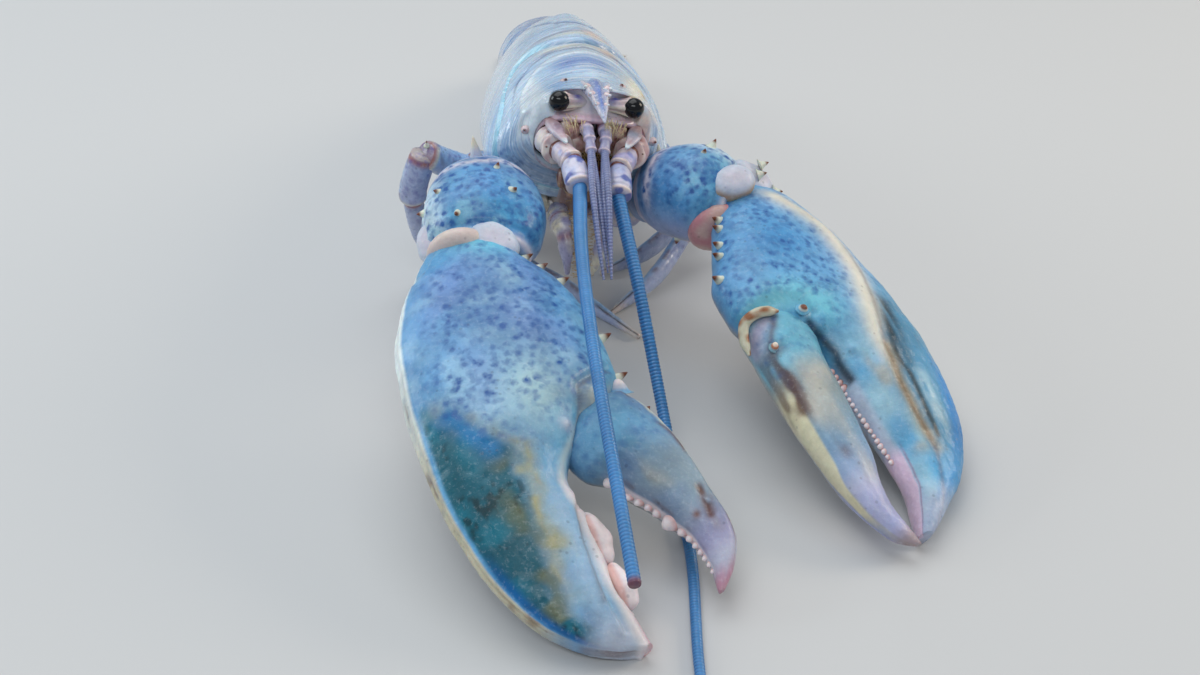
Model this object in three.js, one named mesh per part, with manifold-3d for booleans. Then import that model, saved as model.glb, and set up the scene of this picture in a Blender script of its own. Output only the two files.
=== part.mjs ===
// An American lobster, life size, in millimetres. +Z is up and its head looks toward -Y.
// It stands on its walking legs with its claws laid out in front and its tail fan on the ground.
// Each shell piece is a lofted solid, and its spines and teeth are fused to it.
import * as THREE from 'three';
import { mergeVertices } from 'three/addons/utils/BufferGeometryUtils.js';
import Module from 'manifold-3d';

const wasm = await Module();
wasm.setup();

// Driving dimensions
const gap = 0.3;
const sliver = 0.01;
const degree = Math.PI / 180;
const seed = 7;
const eyeMiddle = [-1.3, 0, 76];
const bodyPitch = 12 * degree;
const bodyRoll = 8.5 * degree;
const carapaceLength = 105;
const carapaceHalfWidth = 30;
const rostrumLength = 22;
const eyeSpacing = 23.2;
const eyeRadius = 3.15;
const abdomenSegment = 19.5;
const abdomenHalfWidth = 22.6;
const telsonLength = 41;
const crusherLength = 134.3;
const pincerLength = 124.5;
const antennaRadius = 2.1;
const armRadius = 8.6;

const vec = (x, y, z) => new THREE.Vector3(x, y, z);

// A point of the body: forward of the eyes, to the lobster's left, and up, pitched and rolled.
function body(forward, left, up) {
  const [x0, y0, z0] = eyeMiddle;
  const across = left * Math.cos(bodyRoll) + up * Math.sin(bodyRoll);
  const rise = up * Math.cos(bodyRoll) - left * Math.sin(bodyRoll);
  const ahead = forward * Math.cos(bodyPitch) - rise * Math.sin(bodyPitch);
  const height = forward * Math.sin(bodyPitch) + rise * Math.cos(bodyPitch);
  return vec(x0 + across, y0 - ahead, z0 + height);
}

// A direction of the body, without its place.
function bodyDirection(forward, left, up) {
  return body(forward, left, up).sub(body(0, 0, 0)).normalize();
}

// A seeded random number from 0 to 1, the same in every run.
let randomState = seed;
function random() {
  randomState = (randomState * 16807) % 2147483647;
  return randomState / 2147483647;
}

// A smooth curve through a few [place, value] pairs that never swings past them.
function profile(...knots) {
  const last = knots.length - 1;
  const slopes = knots.slice(1).map(([x, y], i) => (y - knots[i][1]) / (x - knots[i][0]));
  const tangents = knots.map((knot, i) => {
    if (i === 0) return slopes[0];
    if (i === last) return slopes[last - 1];
    const product = slopes[i - 1] * slopes[i];
    return product <= 0 ? 0 : (2 * product) / (slopes[i - 1] + slopes[i]);
  });
  return (place) => {
    if (place <= knots[0][0]) return knots[0][1];
    if (place >= knots[last][0]) return knots[last][1];
    const i = knots.findIndex(([x]) => x > place) - 1;
    const width = knots[i + 1][0] - knots[i][0];
    const t = (place - knots[i][0]) / width;
    const rise = t * t * (3 - 2 * t);
    const start = t * (1 - t) * (1 - t) * width * tangents[i];
    const end = t * t * (t - 1) * width * tangents[i + 1];
    return knots[i][1] + (knots[i + 1][1] - knots[i][1]) * rise + start + end;
  };
}

// A closed surface through rings of equal counts, with a fan over each end.
function loft(rings) {
  const count = rings[0].length;
  const points = rings.flat().map((point) => vec(point.x, point.y, Math.max(point.z, 0)));
  const faces = [];
  for (let ring = 0; ring + 1 < rings.length; ring += 1) {
    for (let i = 0; i < count; i += 1) {
      const a = ring * count + i;
      const b = ring * count + ((i + 1) % count);
      faces.push([a, b, b + count], [a, b + count, a + count]);
    }
  }
  const addFan = (first, flip) => {
    const centre = vec(0, 0, 0);
    for (let i = 0; i < count; i += 1) centre.addScaledVector(points[first + i], 1 / count);
    const hub = points.push(centre) - 1;
    for (let i = 0; i < count; i += 1) {
      const next = first + ((i + 1) % count);
      faces.push(flip ? [hub, next, first + i] : [hub, first + i, next]);
    }
  };
  addFan(0, true);
  addFan((rings.length - 1) * count, false);
  let volume = 0;
  for (const [a, b, c] of faces) {
    volume += points[a].dot(vec(0, 0, 0).crossVectors(points[b], points[c]));
  }
  if (volume < 0) faces.forEach((face) => face.reverse());
  const geometry = new THREE.BufferGeometry();
  const flat = faces.flatMap((face) => face.flatMap((i) => points[i].toArray()));
  geometry.setAttribute('position', new THREE.Float32BufferAttribute(flat, 3));
  return mergeVertices(geometry, 1e-4);
}

const squarer = (value, power) => Math.sign(value) * Math.abs(value) ** power;

// One closed cross-section. A power below 1 makes it squarer than an ellipse.
function section(centre, side, up, size, count) {
  const power = size.power ?? 1;
  return Array.from({ length: count }, (unused, i) => {
    const angle = (2 * Math.PI * i) / count;
    const across = squarer(Math.cos(angle), power);
    const rise = squarer(Math.sin(angle), power);
    const reach = across > 0 ? size.right : size.left;
    const height = rise > 0 ? size.top : size.bottom;
    return centre.clone().addScaledVector(side, across * reach).addScaledVector(up, rise * height);
  });
}

// A limb: sections carried along a smooth path, with radii as functions of the share of its length.
function limb({ path, up, width, height = width, steps = 8, sides = 8, power = 1 }) {
  const curve = new THREE.CatmullRomCurve3(path.map((point) => point.clone()), false, 'centripetal');
  const rings = [];
  for (let step = 0; step <= steps; step += 1) {
    const share = step / steps;
    const along = curve.getTangentAt(share);
    const side = along.clone().cross(up).normalize();
    const top = side.clone().cross(along).normalize();
    const w = width(share);
    const h = height(share);
    const size = { left: w, right: w, top: h, bottom: h, power };
    rings.push(section(curve.getPointAt(share), side, top, size, sides));
  }
  return loft(rings);
}

// An egg-shaped solid about a centre, with its long axis along a direction.
function egg(centre, axis, length, radius, rows = 6, sides = 8) {
  const helper = Math.abs(axis.z) > 0.9 ? vec(1, 0, 0) : vec(0, 0, 1);
  const side = axis.clone().cross(helper).normalize();
  const top = side.clone().cross(axis).normalize();
  const rings = [];
  for (let row = 0; row <= rows; row += 1) {
    const angle = Math.PI * (0.04 + (0.92 * row) / rows);
    const r = radius * Math.sin(angle);
    const at = centre.clone().addScaledVector(axis, -length * Math.cos(angle));
    rings.push(section(at, side, top, { left: r, right: r, top: r, bottom: r }, sides));
  }
  return loft(rings);
}

// A thorn on a surface point, its root sunk in by half its radius and more.
function thorn(root, direction, length, radius, sides = 5) {
  const axis = direction.clone().normalize();
  const helper = Math.abs(axis.z) > 0.9 ? vec(1, 0, 0) : vec(0, 0, 1);
  const side = axis.clone().cross(helper).normalize();
  const top = side.clone().cross(axis).normalize();
  const ring = (distance, r) => {
    const size = { left: r, right: r, top: r, bottom: r };
    return section(root.clone().addScaledVector(axis, distance), side, top, size, sides);
  };
  return loft([ring(-radius, radius * 1.1), ring(length, Math.min(0.16, radius * 0.2))]);
}

// The solid of a closed geometry, for joining and cutting.
function solid(geometry) {
  const positions = geometry.attributes.position.array;
  return new wasm.Manifold(new wasm.Mesh({
    numProp: 3,
    vertProperties: new Float32Array(positions),
    triVerts: new Uint32Array(geometry.index.array),
  }));
}

// The room that a piece needs: its surface moved outward by the gap.
function room(geometry) {
  const distance = gap * 1.15;
  const grown = geometry.clone();
  grown.computeVertexNormals();
  const positions = grown.attributes.position;
  const normals = grown.attributes.normal;
  for (let i = 0; i < positions.count; i += 1) {
    positions.setXYZ(
      i,
      positions.getX(i) + normals.getX(i) * distance,
      positions.getY(i) + normals.getY(i) * distance,
      positions.getZ(i) + normals.getZ(i) * distance,
    );
  }
  return solid(grown);
}

// The largest closed body of a solid.
function largest(whole) {
  const bodies = whole.decompose();
  return bodies.reduce((best, one) => (one.volume() > best.volume() ? one : best));
}

const lobster = new THREE.Group();

const silverBlue = '#a9c4e0';
const skyBlue = '#5da9dc';
const paleLilac = '#b9b4d2';
const creamPink = '#d9bfb4';
const eyeBlack = '#0b0b10';
const shellRoughness = 0.3;
const eyeRoughness = 0.05;

// The rooms of the pieces made so far, which every later piece is cut clear of.
const rooms = [];

function boxesMeet(a, b) {
  return [0, 1, 2].every((axis) => a.min[axis] < b.max[axis] && b.min[axis] < a.max[axis]);
}

// Adds one named node: a core joined with its thorns and knobs, cut clear of all earlier pieces.
function addPiece(name, core, colour, adds = []) {
  let whole = solid(core);
  for (const add of adds) whole = whole.add(solid(add));
  const box = whole.boundingBox();
  for (const taken of rooms) {
    if (boxesMeet(taken.box, box)) whole = whole.subtract(taken.room);
  }
  const mesh = largest(whole.simplify(sliver)).getMesh();
  const points = Array.from({ length: mesh.numVert }, (unused, i) => (
    Array.from(mesh.vertProperties.slice(i * mesh.numProp, i * mesh.numProp + 3)))).flat();
  const geometry = new THREE.BufferGeometry();
  geometry.setAttribute('position', new THREE.Float32BufferAttribute(points, 3));
  geometry.setIndex(Array.from(mesh.triVerts));
  const roughness = colour === eyeBlack ? eyeRoughness : shellRoughness;
  const material = new THREE.MeshStandardMaterial({ color: colour, roughness, metalness: 0 });
  const node = new THREE.Mesh(geometry, material);
  node.name = name;
  lobster.add(node);
  for (const piece of [core, ...adds]) {
    const taken = room(piece);
    rooms.push({ room: taken, box: taken.boundingBox() });
  }
}

const sides = [
  { name: 'right', sign: -1 },
  { name: 'left', sign: 1 },
];

// Eyes on short stalks, in the notches beside the rostrum
for (const { name, sign } of sides) {
  const centre = body(2.4, (sign * eyeSpacing) / 2, 0);
  const ball = egg(centre, bodyDirection(1, sign * 0.55, 0.1), eyeRadius, eyeRadius, 7, 10);
  const stalk = limb({
    path: [body(-4, sign * 4.6, -0.8), body(-0.6, sign * 7.6, -0.6), centre],
    up: bodyDirection(0, 0, 1),
    width: profile([0, 2.1], [0.5, 2.4], [1, 2.7]),
    steps: 4,
    sides: 8,
  });
  addPiece(`eye_${name}`, ball, eyeBlack);
  addPiece(`eyestalk_${name}`, stalk, creamPink);
}

// Antenna bases: three rounded joints that lead inward and down to the feelers
const antennaBases = {};
const antennaJoints = {
  right: [[-3, -13.6, -12.6], [6, -10.8, -14], [13, -7, -16.2], [21.5, -5.2, -21.8]],
  left: [[-3, 14.6, -12.4], [6, 11.2, -13.6], [13.5, 7.4, -17.2], [22, 6.6, -23.6]],
};
for (const { name } of sides) {
  const joints = antennaJoints[name].map((joint) => body(...joint));
  const [shell, ...articles] = [5, 3.6, 4].map((radius, i) => limb({
    path: [joints[i], joints[i + 1]],
    up: bodyDirection(0, 0, 1),
    width: profile([0, radius * 0.72], [0.3, radius], [0.75, radius * 0.98], [1, radius * 0.7]),
    steps: 4,
    sides: 9,
  }));
  antennaBases[name] = { tip: joints[3], before: joints[2] };
  addPiece(`antenna_base_${name}`, shell, creamPink, articles);
}

// Antennules: a jointed stem each, with an outer feeler and a thinner inner one behind it
const antennuleMiddle = -4.2;
const antennuleApart = 1.25;
for (const { name, sign } of sides) {
  const stemMiddle = body(7, sign * 2.7 + 0.5, -8.4);
  const stemEnd = body(12, sign * 1.9 + 0.5, -13);
  const hung = (x, y, z, spread) => vec(antennuleMiddle + x + sign * antennuleApart * spread, y, z);
  const stem = limb({
    path: [body(0, sign * 3, -7), stemMiddle, stemEnd],
    up: bodyDirection(0, 0, 1),
    width: profile([0, 1.8], [0.3, 2.1], [0.45, 1.7], [0.7, 1.75], [1, 1.3]),
    steps: 7,
    sides: 7,
  });
  const outer = limb({
    path: [
      stemEnd.clone().lerp(stemMiddle, 0.2),
      hung(0, -31, 62, 1),
      hung(-0.7, -42, 54, 0.9),
      hung(-1, -53, 43.5, 0.6),
    ],
    up: vec(0, 0.3, 1),
    width: profile([0, 1], [0.6, 0.85], [1, 0.3]),
    steps: 10,
    sides: 6,
  });
  const inner = limb({
    path: [
      stemEnd.clone().lerp(stemMiddle, 0.3),
      hung(0, -28, 58.4, 1),
      hung(-0.3, -36, 49, 1),
      hung(0.4, -42, 41, 1.3),
    ],
    up: vec(0, 0.3, 1),
    width: profile([0, 0.8], [0.6, 0.6], [1, 0.28]),
    steps: 7,
    sides: 5,
  });
  addPiece(`antennule_${name}`, stem, paleLilac, [outer, inner]);
}

// Mouth: the knot of jaws between the bases of the antennae
addPiece('mouth', egg(body(-6, 0, -25), bodyDirection(0, 1, 0), 8.5, 7, 6, 8), creamPink);

// Carapace: one arched shield from the eyes to the waist, with the neck groove swept across it
const carapaceWidth = profile(
  [-carapaceLength, 22], [-92, 26], [-70, carapaceHalfWidth - 0.4], [-45, carapaceHalfWidth],
  [-25, 27.6], [-10, 23], [-2, 19.5]);
const carapaceTop = profile(
  [-carapaceLength, 14.4], [-90, 17], [-60, 15.4], [-40, 12], [-20, 7.8], [-6, 5.2], [-2, 4.8]);
const carapaceBottom = profile(
  [-carapaceLength, -30], [-88, -35], [-60, -36], [-30, -34], [-12, -28], [-2, -21]);
const grooveStation = -48;
const grooveSweep = profile(
  [-carapaceLength, 0], [-84, 10], [-55, 28], [-32, 16], [-14, 5], [-2, 0]);
const sweepByAngle = profile(
  [0, 0], [28 * degree, 0.04], [60 * degree, 0.5], [92 * degree, 0.96], [Math.PI, 1]);
const faceLean = profile([-30, 0], [-2, 0.3]);
const grooveDepth = profile([grooveStation - 3.5, 0], [grooveStation, 1.3], [grooveStation + 3.5, 0]);
const widestShare = profile([-carapaceLength, 0.3], [-25, 0.3], [-2, 0.46]);
const archPower = profile([-carapaceLength, 0.97], [-25, 0.97], [-2, 0.8]);
const backPower = profile([-carapaceLength, 1.25], [-25, 1.2], [-2, 0.8]);
const lowerSkew = profile([-carapaceLength, 0.03], [-25, 0.03], [-2, 0]);
const leanLevel = 6;

function carapacePoint(station, angle) {
  const top = carapaceTop(station);
  const bottom = carapaceBottom(station);
  const middle = bottom + (top - bottom) * widestShare(station);
  const power = archPower(station);
  const rise = squarer(Math.cos(angle), power);
  const across = squarer(Math.sin(angle), rise > 0 ? backPower(station) : power);
  const dent = grooveDepth(station) * (0.35 + 0.65 * Math.abs(Math.cos(angle / 2)));
  const up = middle + rise * ((rise > 0 ? top - middle : middle - bottom) - dent);
  const left = across * (carapaceWidth(station) - dent) - lowerSkew(station) * (top - up);
  const around = Math.min(angle, 2 * Math.PI - angle);
  const forward = station + grooveSweep(station) * sweepByAngle(around);
  return body(forward + faceLean(station) * (up + leanLevel), left, up);
}

const carapaceStations = [-105, -102, -92, -80, -68, -59, -52, -48, -44, -36, -26, -16, -8, -2];
const carapaceSides = 24;
const carapaceShell = loft(carapaceStations.map((station) => Array.from(
  { length: carapaceSides },
  (unused, i) => carapacePoint(station, (2 * Math.PI * i) / carapaceSides),
)));

// Rostrum: the beak between the eyes, keeled along its middle
const rostrumWidth = profile([-16, 5], [-6, 5], [0, 4], [6, 3], [13, 1.9], [rostrumLength, 0.3]);
const rostrumTop = profile([-16, 6.4], [-6, 6], [2, 5], [8, 3.4], [14, 1.4], [rostrumLength, -1.6]);
const rostrumDepth = profile([-16, 4], [2, 3.6], [12, 2.4], [rostrumLength, 0.5]);

function rostrumRing(forward) {
  const w = rostrumWidth(forward);
  const top = rostrumTop(forward);
  const depth = rostrumDepth(forward);
  const half = [[w * 0.55, top - depth * 0.3], [w, top - depth * 0.55], [w * 0.6, top - depth]];
  const left = half.map(([across, up]) => body(forward, across, up));
  const right = half.map(([across, up]) => body(forward, -across, up)).reverse();
  return [body(forward, 0, top), ...left, ...right];
}

const rostrum = loft([-16, -5, 3, 10, 17, rostrumLength].map(rostrumRing));
const carapaceThorns = [rostrum];
for (const { sign } of sides) {
  for (const forward of [0.5, 6, 12]) {
    const edge = rostrumWidth(forward) - 0.6;
    const middle = rostrumTop(forward) - rostrumDepth(forward) / 2;
    carapaceThorns.push(
      thorn(body(forward, sign * edge, middle), bodyDirection(1, sign * 0.55, 0.15), 2.2, 1));
  }
  carapaceThorns.push(
    thorn(body(-4.5, sign * 6.7, 3.2), bodyDirection(1, 0, 0.5), 2.6, 1.2),
    thorn(body(-10, sign * 8.9, 4.2), bodyDirection(1, 0, 0.9), 2.2, 1.4),
    thorn(body(-4.5, sign * 16.8, -5.8), bodyDirection(1, sign * 0.2, 0.1), 3.6, 1.3),
    thorn(body(-14, sign * 22, -9), bodyDirection(1, sign * 0.5, 0.3), 2.2, 1.1),
  );
}
addPiece('carapace', carapaceShell, silverBlue, carapaceThorns);

// Antenna scales: a pointed blade over each antenna base
for (const { name, sign } of sides) {
  addPiece(`antenna_scale_${name}`, limb({
    path: [body(0, sign * 13.5, -6.6), body(7, sign * 11.4, -8.2), body(13, sign * 8.2, -10.9)],
    up: bodyDirection(0, sign * 0.35, 1),
    width: profile([0, 2], [0.35, 2.8], [0.8, 1.5], [1, 0.3]),
    height: profile([0, 1.2], [0.5, 1], [1, 0.3]),
    steps: 5,
    sides: 7,
  }), creamPink);
}

// Breast: the narrow plate between the legs, under the shield
const breastWidth = profile([-96, 15], [-60, 14], [-30, 9], [-10, 6]);
addPiece('breast', loft([-96, -76, -56, -38, -24, -12].map((forward) => {
  const half = breastWidth(forward);
  const size = { left: half, right: half, top: 9, bottom: 6.5, power: 0.7 };
  return section(body(forward, 0, -33), bodyDirection(0, 1, 0), bodyDirection(0, 0, 1), size, 12);
})), creamPink);

// Antennae: the right one is broken off short, the left one runs down and on over the ground
const antennaPaths = {
  right: [vec(-13.6, -60, 57.4), vec(-16.2, -105, 51.4), vec(-17.1, -176, 36)],
  left: [
    vec(4.4, -50.7, 38), vec(6.6, -66.3, 20.5), vec(7.6, -84, 8.4), vec(7.2, -104, 2.9),
    vec(5.6, -130, 1.9), vec(-0.3, -171, 1.7), vec(-2, -205, 1.5), vec(8, -240, 1.2),
    vec(32, -262, 0.9), vec(58, -268, 0.8),
  ],
};
const antennaRadii = {
  right: profile([0, antennaRadius], [0.3, 1.75], [1, 1.5]),
  left: profile([0, antennaRadius], [0.2, 1.7], [0.5, 1.35], [0.8, 0.95], [1, 0.45]),
};

// A feeler is divided into lengths that meet end to end.
function addAntenna(side, names, stepsEach) {
  const { tip, before } = antennaBases[side];
  const start = tip.clone().addScaledVector(tip.clone().sub(before).normalize(), gap);
  const curve = new THREE.CatmullRomCurve3([start, ...antennaPaths[side]], false, 'centripetal');
  const parting = (gap * 1.3) / curve.getLength();
  names.forEach((name, index) => {
    const from = index / names.length + (index === 0 ? 0 : parting);
    const span = (index + 1) / names.length - from;
    addPiece(name, limb({
      path: Array.from(
        { length: stepsEach + 1 }, (unused, i) => curve.getPointAt(from + (span * i) / stepsEach)),
      up: vec(0.2, 0.1, 1),
      width: (share) => antennaRadii[side](from + span * share),
      steps: stepsEach,
      sides: 7,
    }), skyBlue);
  });
}

addAntenna('right', ['antenna_right'], 16);
addAntenna('left', ['antenna_left_1', 'antenna_left_2', 'antenna_left_3'], 12);

// Claw frames: origin at the wrist, s toward the tip, t toward the lobster's left and n up
function clawFrame(wrist, tip, roll) {
  const along = tip.clone().sub(wrist).normalize();
  const level = vec(-along.y, along.x, 0).normalize();
  const flat = level.clone().applyAxisAngle(along, roll);
  return { wrist, along, flat, up: along.clone().cross(flat).normalize() };
}

function clawPoint(frame, s, t, n) {
  return frame.wrist.clone()
    .addScaledVector(frame.along, s)
    .addScaledVector(frame.flat, t)
    .addScaledVector(frame.up, n);
}

function clawDirection(frame, s, t, n) {
  return clawPoint(frame, s, t, n).sub(frame.wrist).normalize();
}

// A moving finger has its own frame, turned about its hinge in the plane of the palm.
function fingerFrame(frame, hinge, tip) {
  const wrist = clawPoint(frame, hinge[0], hinge[1], 0);
  const along = clawPoint(frame, tip[0], tip[1], 0).sub(wrist).normalize();
  return { wrist, along, flat: frame.up.clone().cross(along).normalize(), up: frame.up };
}

// A palm with its fixed finger, or a moving finger: sections between a right and a left edge.
const clawPower = 0.94;
function clawSolid(frame, outline, stations, count) {
  return loft(stations.map((s) => {
    const right = outline.right(s);
    const half = (outline.left(s) - right) / 2;
    return Array.from({ length: count }, (unused, i) => {
      const angle = (2 * Math.PI * i) / count;
      const across = squarer(Math.cos(angle), clawPower);
      const rise = squarer(Math.sin(angle), clawPower);
      const height = (rise > 0 ? outline.top(s) : outline.bottom(s)) * (1 + outline.lean * across);
      return clawPoint(frame, s, right + half * (1 + across), rise * height);
    });
  }));
}

// Crusher claw, on the right: a broad palm with rounded grinding teeth
const crusher = clawFrame(vec(-40.7, -40, 50.2), vec(-10.4, -162.4, 4), 0);
const crusherOutline = {
  right: profile(
    [-3, -12], [2, -17.1], [21.4, -29.8], [38, -35.3], [60, -37.5], [78, -37.2], [99, -34.1],
    [117, -27.3], [128, -18.5], [133.5, -8.5], [crusherLength, -3]),
  left: profile(
    [-3, 5], [3, 7], [10, 9.4], [21.8, 16.9], [34.2, 20], [46, 21], [58, 20.4], [63.5, 17], [68, 9.5],
    [73, 5], [82, -2.5], [88, -4.6], [100, -3], [115, -3.2], [126, -1.6], [crusherLength, -0.4]),
  top: profile(
    [-3, 7], [8, 10], [28, 13], [50, 13.8], [70, 12.6], [85, 10.6], [100, 8.8], [117, 7],
    [128, 5], [crusherLength, 2.2]),
  bottom: profile(
    [-3, 8], [8, 11], [28, 14], [50, 14.6], [70, 13.4], [85, 11], [100, 9.6], [112, 9.2],
    [121, 9.2], [128, 7.4], [crusherLength, 4.6]),
  lean: 0.1,
};
const crusherStations = [-3, 6, 17, 30, 44, 58, 66, 77, 86, 96, 106, 116, 124, 130, 133.2, crusherLength];
const crusherFinger = fingerFrame(crusher, [73.7, 7.1], [125.2, 21.6]);
const crusherFingerLength = 53.5;
const crusherFingerOutline = {
  left: profile(
    [-9, 10], [-4, 15.8], [3, 18], [14.2, 18.2], [26.8, 16.6], [36.5, 15.4], [43.5, 13.6],
    [47.7, 10.5], [51.6, 5.6], [crusherFingerLength, 2]),
  right: profile(
    [-9, 2], [-4, -6], [3, -9.4], [8, -8.4], [13, -3.9], [18.5, -2.6], [25, 0.4], [32, 2.2],
    [38, 3.6], [46, 3], [crusherFingerLength, 0]),
  top: profile(
    [-9, 6], [0, 10.2], [12, 10], [26, 8], [40, 5.6], [49, 3.4], [crusherFingerLength, 1]),
  bottom: profile(
    [-9, 5.6], [0, 9.4], [12, 9], [26, 7.2], [40, 5], [49, 3], [crusherFingerLength, 1]),
  lean: 0.08,
};
const crusherFingerStations = [-9, -4, 2, 9, 17, 26, 34, 41, 46.5, 50.5, 52.8, crusherFingerLength];

// Pincer claw, on the left: a slimmer palm, rolled inward, with small sharp teeth
const pincer = clawFrame(vec(39.8, -18, 46.6), vec(67.5, -130.7, 5), -14 * degree);
const pincerOutline = {
  right: profile(
    [-3, -8], [2, -9.4], [12, -13.5], [27, -20.5], [36, -24.4], [46, -24], [54, -17], [60, -5],
    [70, 0], [84, 1], [98, 2], [108, 2.6], [116, 0.6], [pincerLength, -2.4]),
  left: profile(
    [-3, 12], [0, 18.6], [8, 22.6], [28, 30.6], [50, 35.2], [70, 35.4], [87, 33], [98, 29],
    [109, 21], [117, 11.4], [122, 5], [pincerLength, 1.2]),
  top: profile(
    [-3, 7], [6, 9.6], [26, 12], [46, 12.4], [64, 11.2], [84, 9.2], [104, 6.6], [117, 4.6],
    [pincerLength, 2]),
  bottom: profile(
    [-3, 8], [6, 10.6], [26, 13], [46, 13.4], [64, 12], [84, 9.8], [100, 8.2], [112, 7.8],
    [118, 6.8], [pincerLength, 4]),
  lean: 0.06,
};
const pincerStations = [-3, 7, 18, 30, 40, 49, 56, 63, 72, 83, 94, 104, 112, 118.5, 122.6, pincerLength];
const pincerFinger = fingerFrame(pincer, [53, -12.4], [126.4, -1.5]);
const pincerFingerLength = 74.2;
const pincerFingerOutline = {
  right: profile(
    [-8, -7], [-2, -12], [5, -11.6], [18, -12.6], [35, -13.6], [50, -13], [62, -11],
    [69, -7.6], [72.6, -4], [pincerFingerLength, -1.6]),
  left: profile(
    [-8, 4], [-2, 10.6], [6, 10.2], [14, 7.6], [27, 5.6], [41, 3.6], [54, 1.8], [65, 0.2],
    [pincerFingerLength, -0.6]),
  top: profile([-8, 5.4], [2, 8.6], [16, 8], [40, 6.2], [60, 4.2], [70, 2.6], [pincerFingerLength, 0.9]),
  bottom: profile([-8, 5], [2, 8], [16, 7.4], [40, 5.8], [60, 4], [70, 2.6], [pincerFingerLength, 0.9]),
  lean: 0,
};
const pincerFingerStations = [-8, -2, 5, 14, 25, 36, 47, 57, 65, 70.5, 73.2, pincerFingerLength];

// Teeth along a bite edge: rounded or pointed, of varied size, leaning toward the other finger
function teeth(frame, edge, [from, to], count, inward, size, sharp) {
  return Array.from({ length: count }, (unused, i) => {
    const s = from + ((to - from) * (i + 0.5)) / count;
    const scale = size(s) * (0.85 + 0.3 * random());
    const root = clawPoint(frame, s, edge(s) - inward * scale * 0.5, 0);
    const out = clawDirection(frame, 0.1, inward, 0.05);
    if (sharp) return thorn(root, out, scale * 1.4, scale, 4);
    return egg(root, out, scale * 1.25, scale, 3, 5);
  });
}

// Thorns along an edge of a palm
function edgeThorns(frame, edge, places, inward) {
  const radius = 1.6;
  return places.map((s) => {
    const root = clawPoint(frame, s, edge(s) - inward * radius, 3);
    const length = 3.2 * (0.85 + 0.3 * random()) + radius;
    return thorn(root, clawDirection(frame, -0.1, inward, 0.35), length, radius);
  });
}

const crusherTeeth = profile([91, 2.6], [103, 3.4], [118, 3], [128, 1.6]);
const crusherFingerTeeth = profile([18, 2], [30, 3.4], [40, 2], [48, 1.2]);
const pincerTeeth = profile([66, 1.3], [90, 1.9], [118, 1.2]);
const pincerFingerTeeth = profile([18, 1.2], [40, 1.6], [68, 1]);
const claws = [
  {
    name: 'crusher',
    frame: crusher,
    palm: clawSolid(crusher, crusherOutline, crusherStations, 16),
    palmAdds: [
      ...teeth(crusher, crusherOutline.left, [91, 128], 6, 1, crusherTeeth, false),
      ...edgeThorns(crusher, crusherOutline.left, [8, 14, 21, 41], 1),
    ],
    finger: clawSolid(crusherFinger, crusherFingerOutline, crusherFingerStations, 12),
    fingerAdds: teeth(
      crusherFinger, crusherFingerOutline.right, [18, 48], 6, -1, crusherFingerTeeth, false),
    hip: [body(-24, -9, -35), body(-25, -17, -38), vec(-32, 25, 33)],
    arm: [vec(-32, 25, 33), vec(-37, 8, 43), vec(-39, -8, 54)],
    armSpike: vec(-38.4, -1, 58.5),
    wrist: [vec(-38.6, -6, 53.6), vec(-38.4, -25, 54), vec(-40.4, -45, 48.4)],
    wristWidth: profile([0, 10.5], [0.3, 16.6], [0.6, 18.4], [0.85, 16.4], [1, 12]),
    wristHeight: profile([0, 9], [0.3, 13.2], [0.6, 13.6], [0.85, 11.6], [1, 8.6]),
    knobs: [[-36.8, -46.4, 54, 8.2], [-54.4, -36, 50.4, 6]],
    wristThorns: [
      [-33, -14, 64], [-29, -26, 61.4], [-51.6, -16, 58], [-57.5, -20, 52], [-46.6, -33, 59.4],
    ],
  },
  {
    name: 'pincer',
    frame: pincer,
    palm: clawSolid(pincer, pincerOutline, pincerStations, 14),
    palmAdds: [
      ...teeth(pincer, pincerOutline.right, [66, 118], 9, -1, pincerTeeth, true),
      ...edgeThorns(pincer, pincerOutline.right, [5, 10, 16, 23, 30], -1),
    ],
    finger: clawSolid(pincerFinger, pincerFingerOutline, pincerFingerStations, 11),
    fingerAdds: teeth(
      pincerFinger, pincerFingerOutline.left, [18, 68], 9, 1, pincerFingerTeeth, true),
    hip: [body(-24, 9, -35), body(-25, 15, -38), vec(23, 27, 30)],
    arm: [vec(23, 27, 30), vec(20, 14, 36.5), vec(17, 0, 43.6)],
    armSpike: vec(20, 2, 51),
    wrist: [vec(17, 1, 44), vec(27, -9, 48.4), vec(39.6, -17.4, 47)],
    wristWidth: profile([0, 9.5], [0.3, 14.6], [0.6, 16], [0.85, 14], [1, 10.6]),
    wristHeight: profile([0, 9], [0.3, 14], [0.6, 15], [0.85, 13], [1, 9.6]),
    knobs: [[37.6, -20.6, 56, 7.4], [46.5, -8, 49, 8]],
    wristThorns: [
      [34.8, -2, 62], [31.5, -6, 60.7], [51, -7, 55.5], [49.5, -11, 54], [55, -11, 47.6],
      [22.8, -12, 33.3],
    ],
  },
];

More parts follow.
